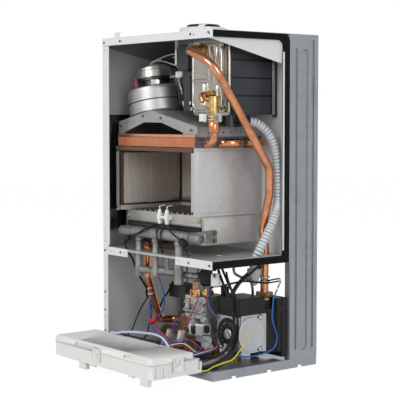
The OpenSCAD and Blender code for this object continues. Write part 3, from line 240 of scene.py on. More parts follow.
def fibre_board():
    """Mineral fibre board in upright ripples, beige grey, scorched along its joints and at its front."""
    look = Look("fibre_board", (0.46, 0.42, 0.36), 0.95)
    tuft = look.grain(0.002, 5.0, 0.7)
    ripple = look.grain(0.009, 2.0, 0.4, (1.0, 1.0, 0.10))
    cloud = look.grain(0.03, 5.0, 0.65) - 0.5
    front = 1 - (look.y + cloud * 0.006).above(-0.2655, -0.2600)
    corner = (look.y + cloud * 0.005).above(-0.1030, -0.0985) * (1 - look.x.above(-0.1660, -0.1640))
    low = 1 - (look.z + cloud * 0.006).above(0.3500, 0.3545)
    high = (look.z + cloud * 0.006).above(0.4650, 0.4700)
    near_right = (look.y + cloud * 0.05).above(-0.165, -0.105)
    right_foot = (1 - (look.z + cloud * 0.02).above(0.350, 0.378)) * near_right
    scorch = (front + corner + low + high * 0.9 + right_foot * 0.8).above(0.25, 0.95)
    clean = look.mix(ripple, (0.34, 0.315, 0.275), (0.50, 0.465, 0.415))
    worn = look.mix(look.z.above(0.40, 0.475) * 0.30, clean, (0.20, 0.175, 0.145))
    burnt = look.mix(tuft, (0.022, 0.014, 0.010), (0.085, 0.052, 0.032))
    bare = look.mix(tuft, (0.34, 0.34, 0.34), (0.42, 0.42, 0.42))
    boards = look.mix(scorch, worn, burnt)
    return look.done(ripple * 0.8 + tuft * 0.2, 0.0015, 0.9,
                     Base_Color=look.mix(1 - look.z.above(0.3465, 0.3475), boards, bare))


def fins():
    """Copper sheet of the fins: pink where it was turned over, with brown heat stains and painted shade in
    the groove under the band.
    """
    look = Look("copper_fins", (0.80, 0.38, 0.24), 0.32, 1.0)
    cloud = look.grain(0.03, 4.0)
    streak = look.grain(0.004, 3.0, 0.6, (1.0, 1.0, 0.05))
    # A dark line in the groove under the band: painted shade.
    groove_shade = look.z.above(0.5045, 0.5055) * (1 - look.z.above(0.5068, 0.5078))
    clean = look.mix(cloud, (0.86, 0.47, 0.29), (0.70, 0.34, 0.19))
    stained = look.mix(streak.above(0.5, 0.8) * 0.5 + groove_shade * 0.6, clean, (0.30, 0.12, 0.06))
    return look.done(streak, 0.0001, 0.5, Base_Color=stained, Roughness=cloud * 0.15 + 0.24)


def chamber_sheet():
    """Aluminised sheet, burnt brown along the flange over the opening."""
    look = Look("chamber_sheet", (0.50, 0.50, 0.495), 0.42, 0.6)
    crystal = look.cells(0.007) * 0.6 + look.grain(0.03, 4.0) * 0.4
    at_front = 1 - look.y.above(-0.2748, -0.2740)
    burnt = look.z.above(0.4735, 0.4742) * at_front * look.x.above(-0.1790, -0.1770)
    soot = look.mix(look.grain(0.006, 4.0), (0.045, 0.024, 0.014), (0.16, 0.075, 0.04))
    clean = look.mix(crystal, (0.46, 0.46, 0.455), (0.53, 0.53, 0.525))
    return look.done(look.grain(0.004, 3.0), 0.00008, 0.5, Base_Color=look.mix(burnt, clean, soot),
                     Roughness=crystal * 0.14 + 0.36, Metallic=(1 - burnt) * 0.6)


def floor_sheet():
    """Zinc sheet on top, with the white stoved edge turned down at its front."""
    look = Look("chamber_floor_sheet", (0.40, 0.40, 0.40), 0.36, 0.6)
    cloud = look.grain(0.05, 4.0)
    white = 1 - look.y.above(-0.2988, -0.2980)
    zinc = look.mix(cloud * 0.6 + look.cells(0.006) * 0.4, (0.46, 0.465, 0.47), (0.60, 0.60, 0.605))
    return look.done(look.grain(0.003, 3.0), 0.00006, 0.5, Base_Color=look.mix(white, zinc, WHITE),
                     Roughness=cloud * 0.16 + 0.28, Metallic=(1 - white) * 0.6)


def two_sided_panel():
    """White stoved sheet with a grey inner face, darker above the floor: painted shade."""
    look = Look("panel_sheet", WHITE, 0.34, Coat_Weight=0.25, Coat_Roughness=0.2)
    film = look.grain(0.06, 4.0)
    inside = look.x.above(-0.1996, -0.1992) * look.y.above(-0.2988, -0.2980)
    white = look.mix(film * 0.15, WHITE, (0.58, 0.58, 0.585))
    # Above the chamber floor the inner face is darker: painted shade of the upper chamber.
    painted_shade_above_floor = look.mix(film, (0.25, 0.255, 0.26), (0.33, 0.33, 0.335))
    grey = look.mix(look.z.above(0.246, 0.252), (0.52, 0.525, 0.53), painted_shade_above_floor)
    return look.done(look.grain(0.0016, 2.0), 0.00006, 0.6, Base_Color=look.mix(inside, white, grey),
                     Roughness=film * 0.18 + 0.26)


def water_block():
    """Dull brass casting under a black moulded head."""
    look = Look("water_block", (0.40, 0.27, 0.12), 0.4)
    cloud = look.grain(0.012, 5.0, 0.6)
    head = look.z.above(0.1055, 0.1065)
    metal = look.mix(cloud.above(0.4, 0.72), (0.30, 0.20, 0.09), (0.14, 0.09, 0.04))
    return look.done(look.grain(0.0015, 3.0), 0.00008, 0.6,
                     Base_Color=look.mix(head, metal, (0.013, 0.013, 0.014)),
                     Roughness=cloud * 0.2 + 0.28, Metallic=(1 - head) * 0.9)


def shield():
    """Dark rolled steel that mirrors the chamber, streaked from top to bottom, duller at its foot with a
    pale painted reflection there.
    """
    look = Look("shield", (0.10, 0.097, 0.093), 0.2, 0.9)
    streak = look.grain(0.02, 5.0, 0.6, (1.0, 1.0, 0.12))
    cloud = look.grain(0.08, 4.0)
    dark = look.mix(streak.above(0.35, 0.7), (0.030, 0.028, 0.026), (0.13, 0.125, 0.12))
    # At its foot the steel is duller and painted a mottled pale grey: a painted reflection.
    foot = 1 - (look.z + (cloud - 0.5) * 0.03).above(0.278, 0.296)
    painted_reflection = look.mix(look.grain(0.007, 5.0, 0.7), (0.18, 0.18, 0.18), (0.52, 0.515, 0.51))
    return look.done(look.grain(0.05, 2.0), 0.0006, 0.4, Base_Color=look.mix(foot, dark, painted_reflection),
                     Roughness=streak * 0.2 + cloud * 0.12 + foot * 0.15 + 0.08, Metallic=0.9 - foot * 0.6)


def circuit():
    """Green lacquered board with its tracks."""
    look = Look("circuit", (0.04, 0.22, 0.09), 0.35)
    tracks = look.cells(0.004, (1.0, 0.3, 1.0)).above(0.55, 0.6)
    lacquer = look.mix(tracks, (0.03, 0.17, 0.07), (0.10, 0.34, 0.16))
    return look.done(tracks, 0.00003, 0.5, Base_Color=lacquer)


ENAMEL = enamel("white_enamel", WHITE)
PANEL = two_sided_panel()
PLASTIC = moulded("white_plastic", (0.74, 0.735, 0.72), dirt=0.02)
# A grey for strips along the box's mouldings: painted shade lines.
PLASTIC_SHADE_LINE = moulded("plastic_shade_line", (0.40, 0.385, 0.35), 0.6, dirt=0.02)
ZINC = sheet_metal("zinc_sheet", (0.50, 0.50, 0.495), 0.42, 0.007, 0.06, 0.7)
ZINC_BLUE = sheet_metal("zinc_frame", (0.33, 0.355, 0.38), 0.40, 0.006, 0.08, 0.6)
PLATE = sheet_metal("chamber_plate", (0.54, 0.54, 0.54), 0.40, 0.008, 0.05, 0.55)
BLUED = sheet_metal("blued_sheet", (0.10, 0.15, 0.20), 0.34, 0.012, 0.45, 0.8)
CHAMBER = chamber_sheet()
FLOOR = floor_sheet()
GREY_WALL = enamel("grey_wall", (0.62, 0.615, 0.605), 0.42, 0.10)
HOOD = sheet_metal("hood_sheet", (0.40, 0.40, 0.40), 0.38, 0.008, 0.06, 0.75)
SHIELD = shield()
FOAM = soft("black_foam", (0.006, 0.006, 0.007), 0.9, dust=0.003, Specular_IOR_Level=0.12)
RUBBER = soft("black_rubber", (0.008, 0.008, 0.008), 0.5, 0.0004, 0.00008, 0.004, Specular_IOR_Level=0.22)
GROMMET = soft("red_rubber", (0.12, 0.008, 0.03), 0.4, 0.0005, 0.00005)
BOARD = fibre_board()
STAINLESS = brushed("stainless_sheet", (0.50, 0.475, 0.43), 0.22, (22.0, 22.0, 1.0), (0.34, 0.30, 0.25))
# A lighter stainless: a painted highlight on the condenser's beads, and the colour of the bracket plates.
STAINLESS_EDGE = brushed("stainless_edge", (0.74, 0.72, 0.68), 0.2, (1.0, 1.0, 10.0))
STEEL = brushed("bright_steel", (0.68, 0.68, 0.67), 0.26)
DARK_STEEL = brushed("dark_steel", (0.11, 0.11, 0.11), 0.35)
FAN_STEEL = brushed("fan_aluminium", (0.46, 0.455, 0.45), 0.42, (1.0, 1.0, 18.0), (0.38, 0.375, 0.37))
MOTOR_CAP = brushed("motor_cap", (0.56, 0.54, 0.52), 0.27, (1.0, 1.0, 20.0), (0.40, 0.38, 0.36))
BURNER_STEEL = brushed("burner_steel", (0.40, 0.38, 0.35), 0.35, (1.0, 8.0, 1.0), (0.22, 0.18, 0.14))
PIPE_STEEL = cast("riser_metal", (0.36, 0.355, 0.345), 0.38, 0.78)
CAST = cast("cast_metal", (0.31, 0.31, 0.305), 0.42, 0.72)
CAST_BRIGHT = cast("cast_bright", (0.58, 0.59, 0.60), 0.38, 0.75)
PUMP_SKIN = sheet_metal("pump_skin", (0.46, 0.47, 0.48), 0.36, 0.012, 0.05, 0.75)
COPPER = copper("copper_tube")
COPPER_DARK = copper("copper_hot", 0.75)
FINS = fins()
BRASS = brass("brass_nut", (0.70, 0.50, 0.20))
BRASS_OLIVE = brass("brass_olive", (0.24, 0.17, 0.06))
BRASS_BROWN = brass("brass_stub", (0.26, 0.17, 0.08))
WATER_BLOCK = water_block()
CERAMIC = moulded("ceramic", (0.84, 0.83, 0.80), 0.25, 0.0006, 0.00003, 0.02)
BLACK = moulded("black_plastic", (0.010, 0.010, 0.011), 0.40, dirt=0.02, Specular_IOR_Level=0.25)
HOUSING = moulded("dark_housing", (0.022, 0.024, 0.030), dirt=0.03)
BLACK_STEEL = enamel("black_steel", (0.012, 0.012, 0.013), 0.35)
HOSE = moulded("hose_plastic", (0.52, 0.555, 0.59), 0.34, dirt=0.05)
# The hose's core, dark grey: painted shade in the grooves between its ribs.
HOSE_GROOVE_SHADE = moulded("hose_groove_shade", (0.13, 0.14, 0.15), 0.45, dirt=0.05)
# A dark slate colour for the sheet on the left gusset: painted shade.
GUSSET_SHADE = enamel("painted_shade_slate", (0.12, 0.13, 0.15), 0.28)
TRAP = moulded("trap_plastic", (0.33, 0.35, 0.36), 0.45, dirt=0.05)
KNOB = moulded("knob_plastic", (0.30, 0.31, 0.32), 0.4)
WHITE_PLASTIC = moulded("connector_white", (0.72, 0.72, 0.70), 0.4, dirt=0.02)
IVORY = moulded("connector_ivory", (0.56, 0.52, 0.42), 0.4, dirt=0.03)
RED_PLASTIC = moulded("connector_red", (0.52, 0.015, 0.012), 0.35, dirt=0.02)
PALE_TUBE = moulded("pale_tube", (0.52, 0.62, 0.72), 0.35, dirt=0.02)
RED = enamel("red_paint", (0.50, 0.03, 0.02), 0.3)
GREEN = circuit()
BLACK_WIRE = wire_skin("black", (0.006, 0.006, 0.006), 0.40, 0.01, Specular_IOR_Level=0.22)
BLUE_WIRE = wire_skin("blue", (0.010, 0.09, 0.40))
SENSOR_BLUE = wire_skin("sensor_blue", (0.006, 0.11, 0.38))
RED_WIRE = wire_skin("red", (0.42, 0.012, 0.015))
PINK_WIRE = wire_skin("pink", (0.55, 0.12, 0.22))
MAROON_WIRE = wire_skin("maroon", (0.22, 0.02, 0.035))
VIOLET_WIRE = wire_skin("violet", (0.16, 0.06, 0.36))
WHITE_WIRE = wire_skin("white", (0.66, 0.66, 0.68))
YELLOW_WIRE = wire_skin("yellow", (0.62, 0.50, 0.02))
CREAM_WIRE = wire_skin("cream", (0.58, 0.54, 0.42))
GREY_WIRE = wire_skin("grey", (0.26, 0.26, 0.265))
DARK_GREY_WIRE = wire_skin("dark_grey", (0.045, 0.045, 0.047))

DRESS = {
    ENAMEL: "top_panel flue_adaptor",
    PANEL: "left_side_panel",
    PLASTIC: "box_shell box_cover",
    ZINC: "floor_gland_plate burner_casing burner_front_strip fan_rotor",
    FLOOR: "chamber_floor",
    CHAMBER: "combustion_chamber",
    BLUED: "exchanger_end_plates",
    ZINC_BLUE: "rear_frame base_tray",
    GREY_WALL: "chamber_rear_wall",
    HOOD: "fume_hood",
    SHIELD: "left_heat_shield",
    FOAM: "chamber_seal",
    RUBBER: "flue_gasket",
    GROMMET: "fan_grommets",
    BOARD: "insulation_boards",
    STAINLESS: "condenser_end_plate plate_heat_exchanger",
    FAN_STEEL: "fan_volute fan_cover",
    MOTOR_CAP: "fan_motor",
    BURNER_STEEL: "burner_bars",
    PIPE_STEEL: "gas_risers pump_rotor",
    CAST: "gas_manifold",
    CAST_BRIGHT: "gas_valve pump_motor",
    COPPER: "exchanger_tubes",
    BRASS_BROWN: "pipe_stubs injector_nozzles",
    BRASS: "brass_unions",
    WATER_BLOCK: "flow_block",
    CERAMIC: "ignition_electrodes",
    HOUSING: "pressure_switch condenser_housing fan_outlet_duct",
    BLACK: "pump_terminal_box hydraulic_block pump_dial_plate ignition_transformer filling_tap_knob",
    BLACK_STEEL: "fan_bracket",
    TRAP: "condensate_trap",
    KNOB: "setting_knob_left setting_knob_right",
    RED: "expansion_vessel",
    GREEN: "circuit_board",
}
for finish, names in DRESS.items():
    for name in names.split():
        nodes[name].data.materials.clear()
        nodes[name].data.materials.append(finish)


# Camera: the photo's view, from the front right and a little above
VIEW_ROUND, VIEW_ABOVE = 51.39, 3.86  # degrees from straight ahead and from level


def in_scene(thing):
    """Links a new object to the scene."""
    bpy.context.scene.collection.objects.link(thing)
    return thing


camera = in_scene(bpy.data.objects.new("camera", bpy.data.cameras.new("camera")))
camera.data.sensor_width = 36.0
camera.data.lens = 109.39
camera.location = (2.135, -1.8778, 0.5484)
camera.rotation_euler = (math.radians(90 - VIEW_ABOVE), 0.0, math.radians(VIEW_ROUND))
bpy.context.scene.camera = camera
bpy.context.scene.view_settings.view_transform = "Standard"


# Shaping

ARC_STEPS = 9
LOOKS_THAT_WAY = 0.9  # the least agreement between a face's normal and a direction


def begin(kind, **how):
    """A primitive with nothing else selected."""
    bpy.ops.object.select_all(action="DESELECT")
    getattr(bpy.ops.mesh, f"primitive_{kind}_add")(**how)
    return bpy.context.object


def only(piece):
    """Leaves this piece alone selected."""
    bpy.ops.object.select_all(action="DESELECT")
    piece.select_set(True)
    bpy.context.view_layer.objects.active = piece
    return piece


def settled(piece):
    """Applies a piece's place, turn and scale to its mesh."""
    only(piece)
    bpy.ops.object.transform_apply(location=True, rotation=True, scale=True)
    return piece


def pick(piece, *ways):
    """Opens a piece in edit mode with the faces selected that look one of these ways, or with all."""
    only(piece)
    bpy.context.tool_settings.mesh_select_mode = (False, False, True)
    mesh = piece.data
    for part in (*mesh.vertices, *mesh.edges, *mesh.polygons):
        part.select = False
    for face in mesh.polygons:
        near = (face.normal.dot(Vector(way)) > LOOKS_THAT_WAY for way in ways)
        face.select = not ways or any(near)
    bpy.ops.object.mode_set(mode="EDIT")


def pushed(way):
    """Extrudes what is selected, by metres."""
    bpy.ops.mesh.extrude_region_move(TRANSFORM_OT_translate={"value": way})


def shut(piece):
    """Leaves edit mode with every face turned outward."""
    bpy.ops.mesh.select_all(action="SELECT")
    bpy.ops.mesh.normals_make_consistent(inside=False)
    bpy.ops.object.mode_set(mode="OBJECT")
    return piece


def sunk(piece, ways, margin, push):
    """Insets the faces that look these ways by a margin and pushes them in or out."""
    pick(piece, *ways)
    bpy.ops.mesh.inset(thickness=margin * MM, depth=0)
    pushed(Vector(push) * MM)
    bpy.ops.object.mode_set(mode="OBJECT")
    return piece


def changed(piece, kind, **settings):
    """Puts one modifier on a piece and applies it."""
    only(piece)
    change = piece.modifiers.new("change", kind)
    for name, value in settings.items():
        setattr(change, name, value)
    bpy.ops.object.modifier_apply(modifier="change")
    return piece


def softened(piece, width, segments=2, angle=30):
    """Rounds a piece's sharp edges."""
    return changed(piece, "BEVEL", width=width * MM, segments=segments, limit_method="ANGLE",
                   angle_limit=math.radians(angle))


def cut_out(piece, cutter):
    """Takes a cutter's shape out of a piece."""
    changed(piece, "BOOLEAN", operation="DIFFERENCE", object=cutter, solver="EXACT")
    bpy.data.objects.remove(cutter)
    return piece


def block(low, high):
    """A block between two corners, the start of a shaped piece."""
    low, high = Vector(low) * MM, Vector(high) * MM
    piece = begin("cube", size=1, location=(low + high) / 2)
    piece.scale = high - low
    return settled(piece)


def centred(width, depth, height):
    """A block round the origin, for a part that is then turned into its place."""
    return block((-width / 2, -depth / 2, -height / 2), (width / 2, depth / 2, height / 2))


def sheet_of(corners, thickness):
    """A flat sheet on an outline, pushed out to its thickness."""
    mesh = bpy.data.meshes.new("sheet")
    mesh.from_pydata([Vector(corner) * MM for corner in corners], [], [range(len(corners))])
    piece = in_scene(bpy.data.objects.new("sheet", mesh))
    pick(piece)
    pushed(Vector(thickness) * MM)
    return shut(piece)


def turned(steps, sides=32):
    """Lathe work up the z axis: (radius, height) from the foot."""
    radius, height = steps[0]
    piece = begin("circle", vertices=sides, radius=radius * MM, fill_type="NGON",
                  location=(0, 0, height * MM))
    settled(piece)
    bpy.ops.object.mode_set(mode="EDIT")
    bpy.ops.mesh.select_all(action="SELECT")
    for wider, higher in steps[1:]:
        pushed((0, 0, (higher - height) * MM))
        if wider != radius:
            grow = wider / radius
            bpy.ops.transform.resize(value=(grow, grow, 1), center_override=(0, 0, higher * MM))
        radius, height = wider, higher
    return shut(piece)


def placed(piece, at, along=UP, roll=0.0):
    """Turns a piece from +Z to a direction and carries it to its place."""
    spin = Quaternion(UP, math.radians(roll))
    piece.rotation_euler = (Vector(along).to_track_quat("Z", "Y") @ spin).to_euler()
    piece.location = Vector(at) * MM
    return settled(piece)


def joined(*pieces):
    """Makes one piece of several."""
    bpy.ops.object.select_all(action="DESELECT")
    for piece in pieces:
        piece.select_set(True)
    bpy.context.view_layer.objects.active = pieces[0]
    bpy.ops.object.join()
    return bpy.context.object


def repeated(pattern, *places):
    """Copies of a pattern at (place, direction) pairs, each with its own mesh, joined into one piece."""
    copies = []
    for at, along in places:
        copy = in_scene(pattern.copy())
        copy.data = pattern.data.copy()
        copies.append(placed(copy, at, along))
    bpy.data.objects.remove(pattern)
    return joined(*copies)


def finished(piece, name, finish, body=CABINET, stands_for=None, angle=35):
    """Names a shaped piece, gives it its finish and puts it on its body."""
    only(piece)
    piece.name = piece.data.name = name
    piece.data.materials.clear()
    piece.data.materials.append(finish)
    bpy.ops.object.shade_smooth_by_angle(angle=math.radians(angle))
    if stands_for:
        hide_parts(stands_for)
    if body == CROSSING:
        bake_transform(piece)
    else:
        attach(piece, body)
    return piece


def slab(name, low, high, finish, edge=0.4, segments=2):
    """A plain plate with soft edges."""
    return finished(softened(block(low, high), edge, segments), name, finish)


def rounded(corners, *radii):
    """A route of straight runs whose corners are arcs. The last radius serves all further corners."""
    corners = [Vector(corner) for corner in corners]
    radii += radii[-1:] * len(corners)
    route = [corners[0]]
    for before, at, after, radius in zip(corners, corners[1:], corners[2:], radii):
        back, ahead = (before - at).normalized(), (after - at).normalized()
        turn = math.pi - back.angle(ahead)
        centre = at + (back + ahead).normalized() * radius / math.cos(turn / 2)
        reach = radius * math.tan(turn / 2)
        first, last = ((at + way * reach - centre).normalized() for way in (back, ahead))
        route += [centre + first.slerp(last, k / ARC_STEPS) * radius for k in range(ARC_STEPS + 1)]
    return route + [corners[-1]]


def flowing(points, steps=8):
    """A smooth route through all the points."""
    points = [Vector(point) for point in points]
    points = [points[0], *points, points[-1]]
    route = []
    for a, b, c, d in zip(points, points[1:], points[2:], points[3:]):
        for t in (k / steps for k in range(steps)):
            route.append(0.5 * (2 * b + (c - a) * t + (2 * a - 5 * b + 4 * c - d) * t * t
                                + (3 * b - a - 3 * c + d) * t ** 3))
    return route + [points[-1]]


def upright(y, *spots):
    """Points from (x, z) pairs, on the upright plane at y."""
    return [(x, y, z) for x, z in spots]


def wound(route, reach, start, pitch):
    """A strand that winds round a route, once in every pitch."""
    side, gone, strand = Vector((0.31, 0.52, 0.79)), 0.0, []
    for i, point in enumerate(route):
        ahead = (route[min(i + 1, len(route) - 1)] - route[max(i - 1, 0)]).normalized()
        side = (side - ahead * side.dot(ahead)).normalized()
        gone += (point - route[max(i - 1, 0)]).length
        turn = math.radians(start) + 2 * math.pi * gone / pitch
        strand.append(point + reach * (math.cos(turn) * side + math.sin(turn) * ahead.cross(side)))
    return strand


def tube(route, radius, sides=20, swell=None):
    """A round tube along a route, closed at its ends."""
    path = bpy.data.curves.new("route", "CURVE")
    path.dimensions = "3D"
    path.bevel_depth = radius * MM
    path.bevel_resolution = (sides - 4) // 2
    path.use_fill_caps = True
    line = path.splines.new("POLY")
    line.points.add(len(route) - 1)
    for index, place in enumerate(route):
        line.points[index].co = (*(Vector(place) * MM), 1.0)
        line.points[index].radius = swell[index] if swell else 1.0
    only(in_scene(bpy.data.objects.new("tube", path)))
    bpy.ops.object.convert(target="MESH")
    return bpy.context.object


def lead(name, route, radius, finish, body=CABINET, stiffness="limp"):
    """A single lead on a finished route."""
    piece = finished(tube(route, radius, 10), name, finish, body, angle=80)
    return piece


def cable(name, points, *more):
    """A single lead on a smooth route through the given points."""
    return lead(name, flowing(points, 6), *more)


def twisted(name, points, radius, finishes, pitch=16):
    """Leads twisted round each other on one route."""
    route = flowing(points, 14)
    for index, finish in enumerate(finishes):
        strand = wound(route, radius * 1.05, 360 * index / len(finishes), pitch)
        lead(f"{name}_{index + 1}", strand, radius, finish)


def plug(name, size, at, finish, roll=0.0, along=UP):
    """A cable connector: a housing with a sunk mouth, side recesses and rounded edges."""
    width, depth, length = size
    piece = centred(width, depth, length)
    sunk(piece, [UP], 1.2, (0, 0, -length * 0.2))
    sunk(piece, [DOWN], 1.6, (0, 0, -2.0))
    sunk(piece, [FRONT, BACK], min(width, length) * 0.2, (0, 0, 0.01))
    return finished(placed(softened(piece, 0.5), at, along, roll), name, finish)


def screws(name, radius, finish, along, *spots):
    """Pan-head screws with a driver recess, on thin washers."""
    head = turned([(radius * 1.35, 0), (radius * 1.35, 0.5), (radius * 0.95, 0.5), (radius, 1.0),
                   (radius * 0.8, 1.9), (radius * 0.4, 2.2), (radius * 0.32, 1.2)], 16)
    return finished(repeated(head, *((spot, along) for spot in spots)), name, finish)


def nut(name, at, flats, height, finish=BRASS, roll=0.0, collar=True):
    """A union nut with chamfered corners, with or without its collar."""
    reach = flats / math.sqrt(3)
    steps = [(reach * 0.9, 0), (reach, height * 0.14), (reach, height * 0.86), (reach * 0.9, height)]
    piece = turned(steps, 6)
    if collar:
        piece = joined(piece, turned([(flats * 0.40, -2), (flats * 0.43, -1), (flats * 0.43, height + 1),
                                      (flats * 0.40, height + 2.2)], 28))
    return finished(placed(piece, at, UP, roll), name, finish)


def ring(at, along, inner, outer, height):
    """A collar or clip round a tube."""
    piece = turned([(outer - 0.4, 0), (outer, 0.4), (outer, height - 0.4), (outer - 0.4, height),
                    (inner, height), (inner, height - 0.2)])
    return placed(piece, at, along)


# Cords, hoses and wires
INTO_BOX, REAR_WALL = -318.5, -337  # y under the box's rear ledge, and y of its rear wall

# Condensate hose: a ribbed tube with smooth cuffs
RIB_PITCH, RIB_COUNT, CUFF_RIBS = 7.4, 62, 4
hose_line = flowing([(142, -186, 541), (142, -166, 541), (152, -140, 538), (162, -118, 520),
    (168, -104, 494), (172, -98, 460), (175, -96, 400), (176, -97, 360), (182, -113, 330), (184, -140, 290),
    (180, -157, 258), (172, -161, 240), (172, -161, 218.3)], 44)
# The core tube between the pale ribs is dark grey: painted shade in the grooves.
hose = finished(tube(hose_line, 8.6, 28), "ribbed_condensate_hose", HOSE_GROOVE_SHADE,
    stands_for="condensate_hose", angle=50)
rib_places, gone = [], 0.0
for before, at, after in zip(hose_line, hose_line[1:], hose_line[2:]):
    gone += (at - before).length
    if gone > RIB_PITCH * (len(rib_places) + CUFF_RIBS) and len(rib_places) < RIB_COUNT:
        rib_places.append((at, after - before))
rib = turned([(8.5, -3.1), (9.3, -2.9), (9.5, -2.4), (9.5, 2.4), (9.3, 2.9), (8.5, 3.1)], 24)
cuff = placed(turned([(9.4, -16), (9.5, -15.6), (9.5, 15), (8.9, 16)], 28),
              hose_line[-1] + (hose_line[-2] - hose_line[-1]).normalized() * 16)
hose_ribs = finished(joined(repeated(rib, *rib_places), cuff), "condensate_hose_ribs", HOSE,
    stands_for="condensate_hose", angle=50)

# Harness from the cabinet to the control box
harness_line = flowing([(120, -215, 249), (136, -232, 228), (164, -242, 200), (184, -243, 172),
    (191, -241.5, 148), (195, -236.5, 122), (194.5, -236.5, 95), (186, -248, 64), (170, -263, 46),
    (140, -283, 43), (104, -294, 46), (66, -302, 52.5), (36, -318, 53.5), (20, REAR_WALL, 53.5)], 14)
sleeve = finished(tube(harness_line, 3.0, 16), "harness_sleeve", RUBBER, CROSSING, "box_harness", 80)

# Ignition and flame leads in front of the gas manifold
cable("ignition_lead", [(-34.5, -261, 313), (-36, -275, 309), (-44, -292, 303), (-60, -297, 294),
    (-84, -297, 284), (-104, -297, 278), (-118, -297, 274), (-116, -297, 260), (-106, -297, 247),
    (-102, -287, 230), (-98, -282, 212), (-97, -271, 190), (-94, -260, 171), (-97, -251, 158),
    (-106, -246, 148), (-122, -232, 138), (-144, -214, 132)], 2.5, BLACK_WIRE)
cable("flame_lead_1", [(-32, -261, 313), (-18, -276, 309), (-3, -293, 300), (3, -296, 288), (7, -293, 272),
    (11, -286, 253)], 1.5, BLACK_WIRE)
cable("flame_lead_2", [(-10, -261, 313), (4, -278, 307), (14, -294, 298), (17, -296, 284), (15, -293, 268),
    (11, -286, 253)], 1.5, BLACK_WIRE)
cable("flame_lead_3", [(-7, -261, 313), (22, -278, 308), (53, -295, 302), (72, -297, 294), (92, -297, 284),
    (101, -296, 270), (107, -289, 253)], 1.7, BLACK_WIRE)

# Leads on the left, down into the control box
cable("cabinet_lead_1", [(-172, -200, 196), (-168, -205, 177), (-153, -210, 146), (-134, -215, 125),
    (-117, -222, 100), (-115, -232, 71), (-112, -244, 46), (-112, -280, 36), (-112, INTO_BOX, 40)], 1.6,
    BLACK_WIRE, CROSSING)
cable("cabinet_lead_2", [(-144, -213, 133), (-151, -217, 120), (-160, -222, 104), (-167, -232, 76),
    (-172, -244, 48), (-168, -280, 36), (-160, INTO_BOX, 40)], 1.6, BLACK_WIRE, CROSSING)
cable("cabinet_lead_3", [(-40, -196, 176), (-22, -198, 150), (-6, -200, 122), (4, -202, 96), (8, -206, 66),
    (8, -210, 40)], 2.8, BLACK_WIRE)
cable("cabinet_lead_4", [(-58, -206, 176), (-72, -208, 152), (-84, -212, 136), (-92, -216, 118),
    (-96, -222, 96)], 2.2, BLACK_WIRE)
cable("earth_lead", [(-40, -262, 200), (-38, -252, 172), (-38, -246, 149), (-41, -244, 125),
    (-54, -244, 106), (-66, -245, 94)], 1.6, BLUE_WIRE)
for index, (finish, lift) in enumerate(((PINK_WIRE, 0), (MAROON_WIRE, 4), (VIOLET_WIRE, -4))):
    cable(f"fan_supply_lead_{index + 1}", [(-88, -245, 82 + lift / 2), (-73, -246, 74 + lift),
        (-45, -250, 64 + lift), (-15, -256, 56 + lift), (28, -280, 49 + lift), (58 - lift, INTO_BOX, 45)],
        1.2, finish, CROSSING)
cable("sensor_lead_1", [(-103, -240, 152), (-102, -240, 125), (-104, -243, 99), (-88, -245, 78),
    (-62, -248, 60), (-30, -254, 50), (6, -282, 46), (34, INTO_BOX, 46)], 1.2, VIOLET_WIRE, CROSSING)
cable("sensor_lead_2", [(-98, -240, 150), (-97, -241, 122), (-98, -243, 100), (-92, -245, 84),
    (-70, -248, 62), (-40, -254, 46), (-4, -282, 42), (20, INTO_BOX, 44)], 1.3, BLUE_WIRE, CROSSING)
cable("sensor_lead_3", [(21, -246, 53), (12, -255, 48), (2, -276, 44), (-14, INTO_BOX, 46)], 1.2,
    VIOLET_WIRE, CROSSING)
for index, finish in enumerate((RED_WIRE, BLUE_WIRE)):
    cable(f"valve_lead_{index + 1}", [(-12 + 5 * index, -247, 70), (-4 + 4 * index, -246, 86),
        (5 + index, -245, 99), (24, -243, 108 - 4 * index), (44, -240, 117 - 4 * index)], 1.3, finish)
    cable(f"supply_lead_{index + 1}", [(-44 + 5 * index, -240, 42), (-31, -256, 38), (8, -290, 40),
        (34 + 6 * index, INTO_BOX, 42)], 1.3, finish, CROSSING)
twisted("flow_sensor_lead", [(30, -246, 80), (46, -249.4, 95), (67, -249.8, 122), (82, -249.8, 144),
    (87, -249, 155), (80, -245, 168), (67, -236, 176)], 1.2, (MAROON_WIRE, PINK_WIRE))
cable("box_loop_violet", [(52, REAR_WALL, 57), (62, -292, 66), (76, -276, 71), (94, -270, 67),
    (124, -276, 62), (150, -292, 60), (160, -316, 57), (166, REAR_WALL, 57)], 1.2, VIOLET_WIRE, CROSSING)
cable("box_loop_white", [(60, REAR_WALL, 55), (72, -288, 61), (84, -276, 58), (113, -283, 53),
    (146, -298, 53), (152, -316, 53), (158, REAR_WALL, 54)], 1.4, WHITE_WIRE, CROSSING)
cable("box_loop_red", [(64, REAR_WALL, 53), (76, -290, 57), (88, -279, 54), (115, -286, 50),
    (142, -300, 51), (147, -316, 51.5), (152, REAR_WALL, 52)], 1.2, RED_WIRE, CROSSING)
for index, finish in enumerate((BLUE_WIRE, WHITE_WIRE, RED_WIRE)):
    cable(f"pump_lead_{index + 1}", [(172 - 3 * index, REAR_WALL, 53 + index),
        (164 - 2 * index, -312, 53 + index), (156 - 2 * index, -292, 52 + 2 * index),
        (146 - index, -268, 51 + 2 * index), (138, -246, 52 + 2 * index), (128, -226, 54 + 2 * index),
        (123 - index, -214, 52), (128, -200, 44 - index)], 1.2, finish, CROSSING)
cable("pump_sleeve", [(159, -229, 66), (161, -234, 55), (163, -250, 40), (162, -275, 32), (163, -300, 30),
    (162, INTO_BOX, 30)], 4.4, GREY_WIRE, CROSSING, "medium")
cable("pump_sleeve_dark", [(173, -229, 66), (178, -235, 49), (180, -254, 36), (173, -280, 26),
    (168, -302, 24), (166, INTO_BOX, 24)], 4.4, DARK_GREY_WIRE, CROSSING, "medium")
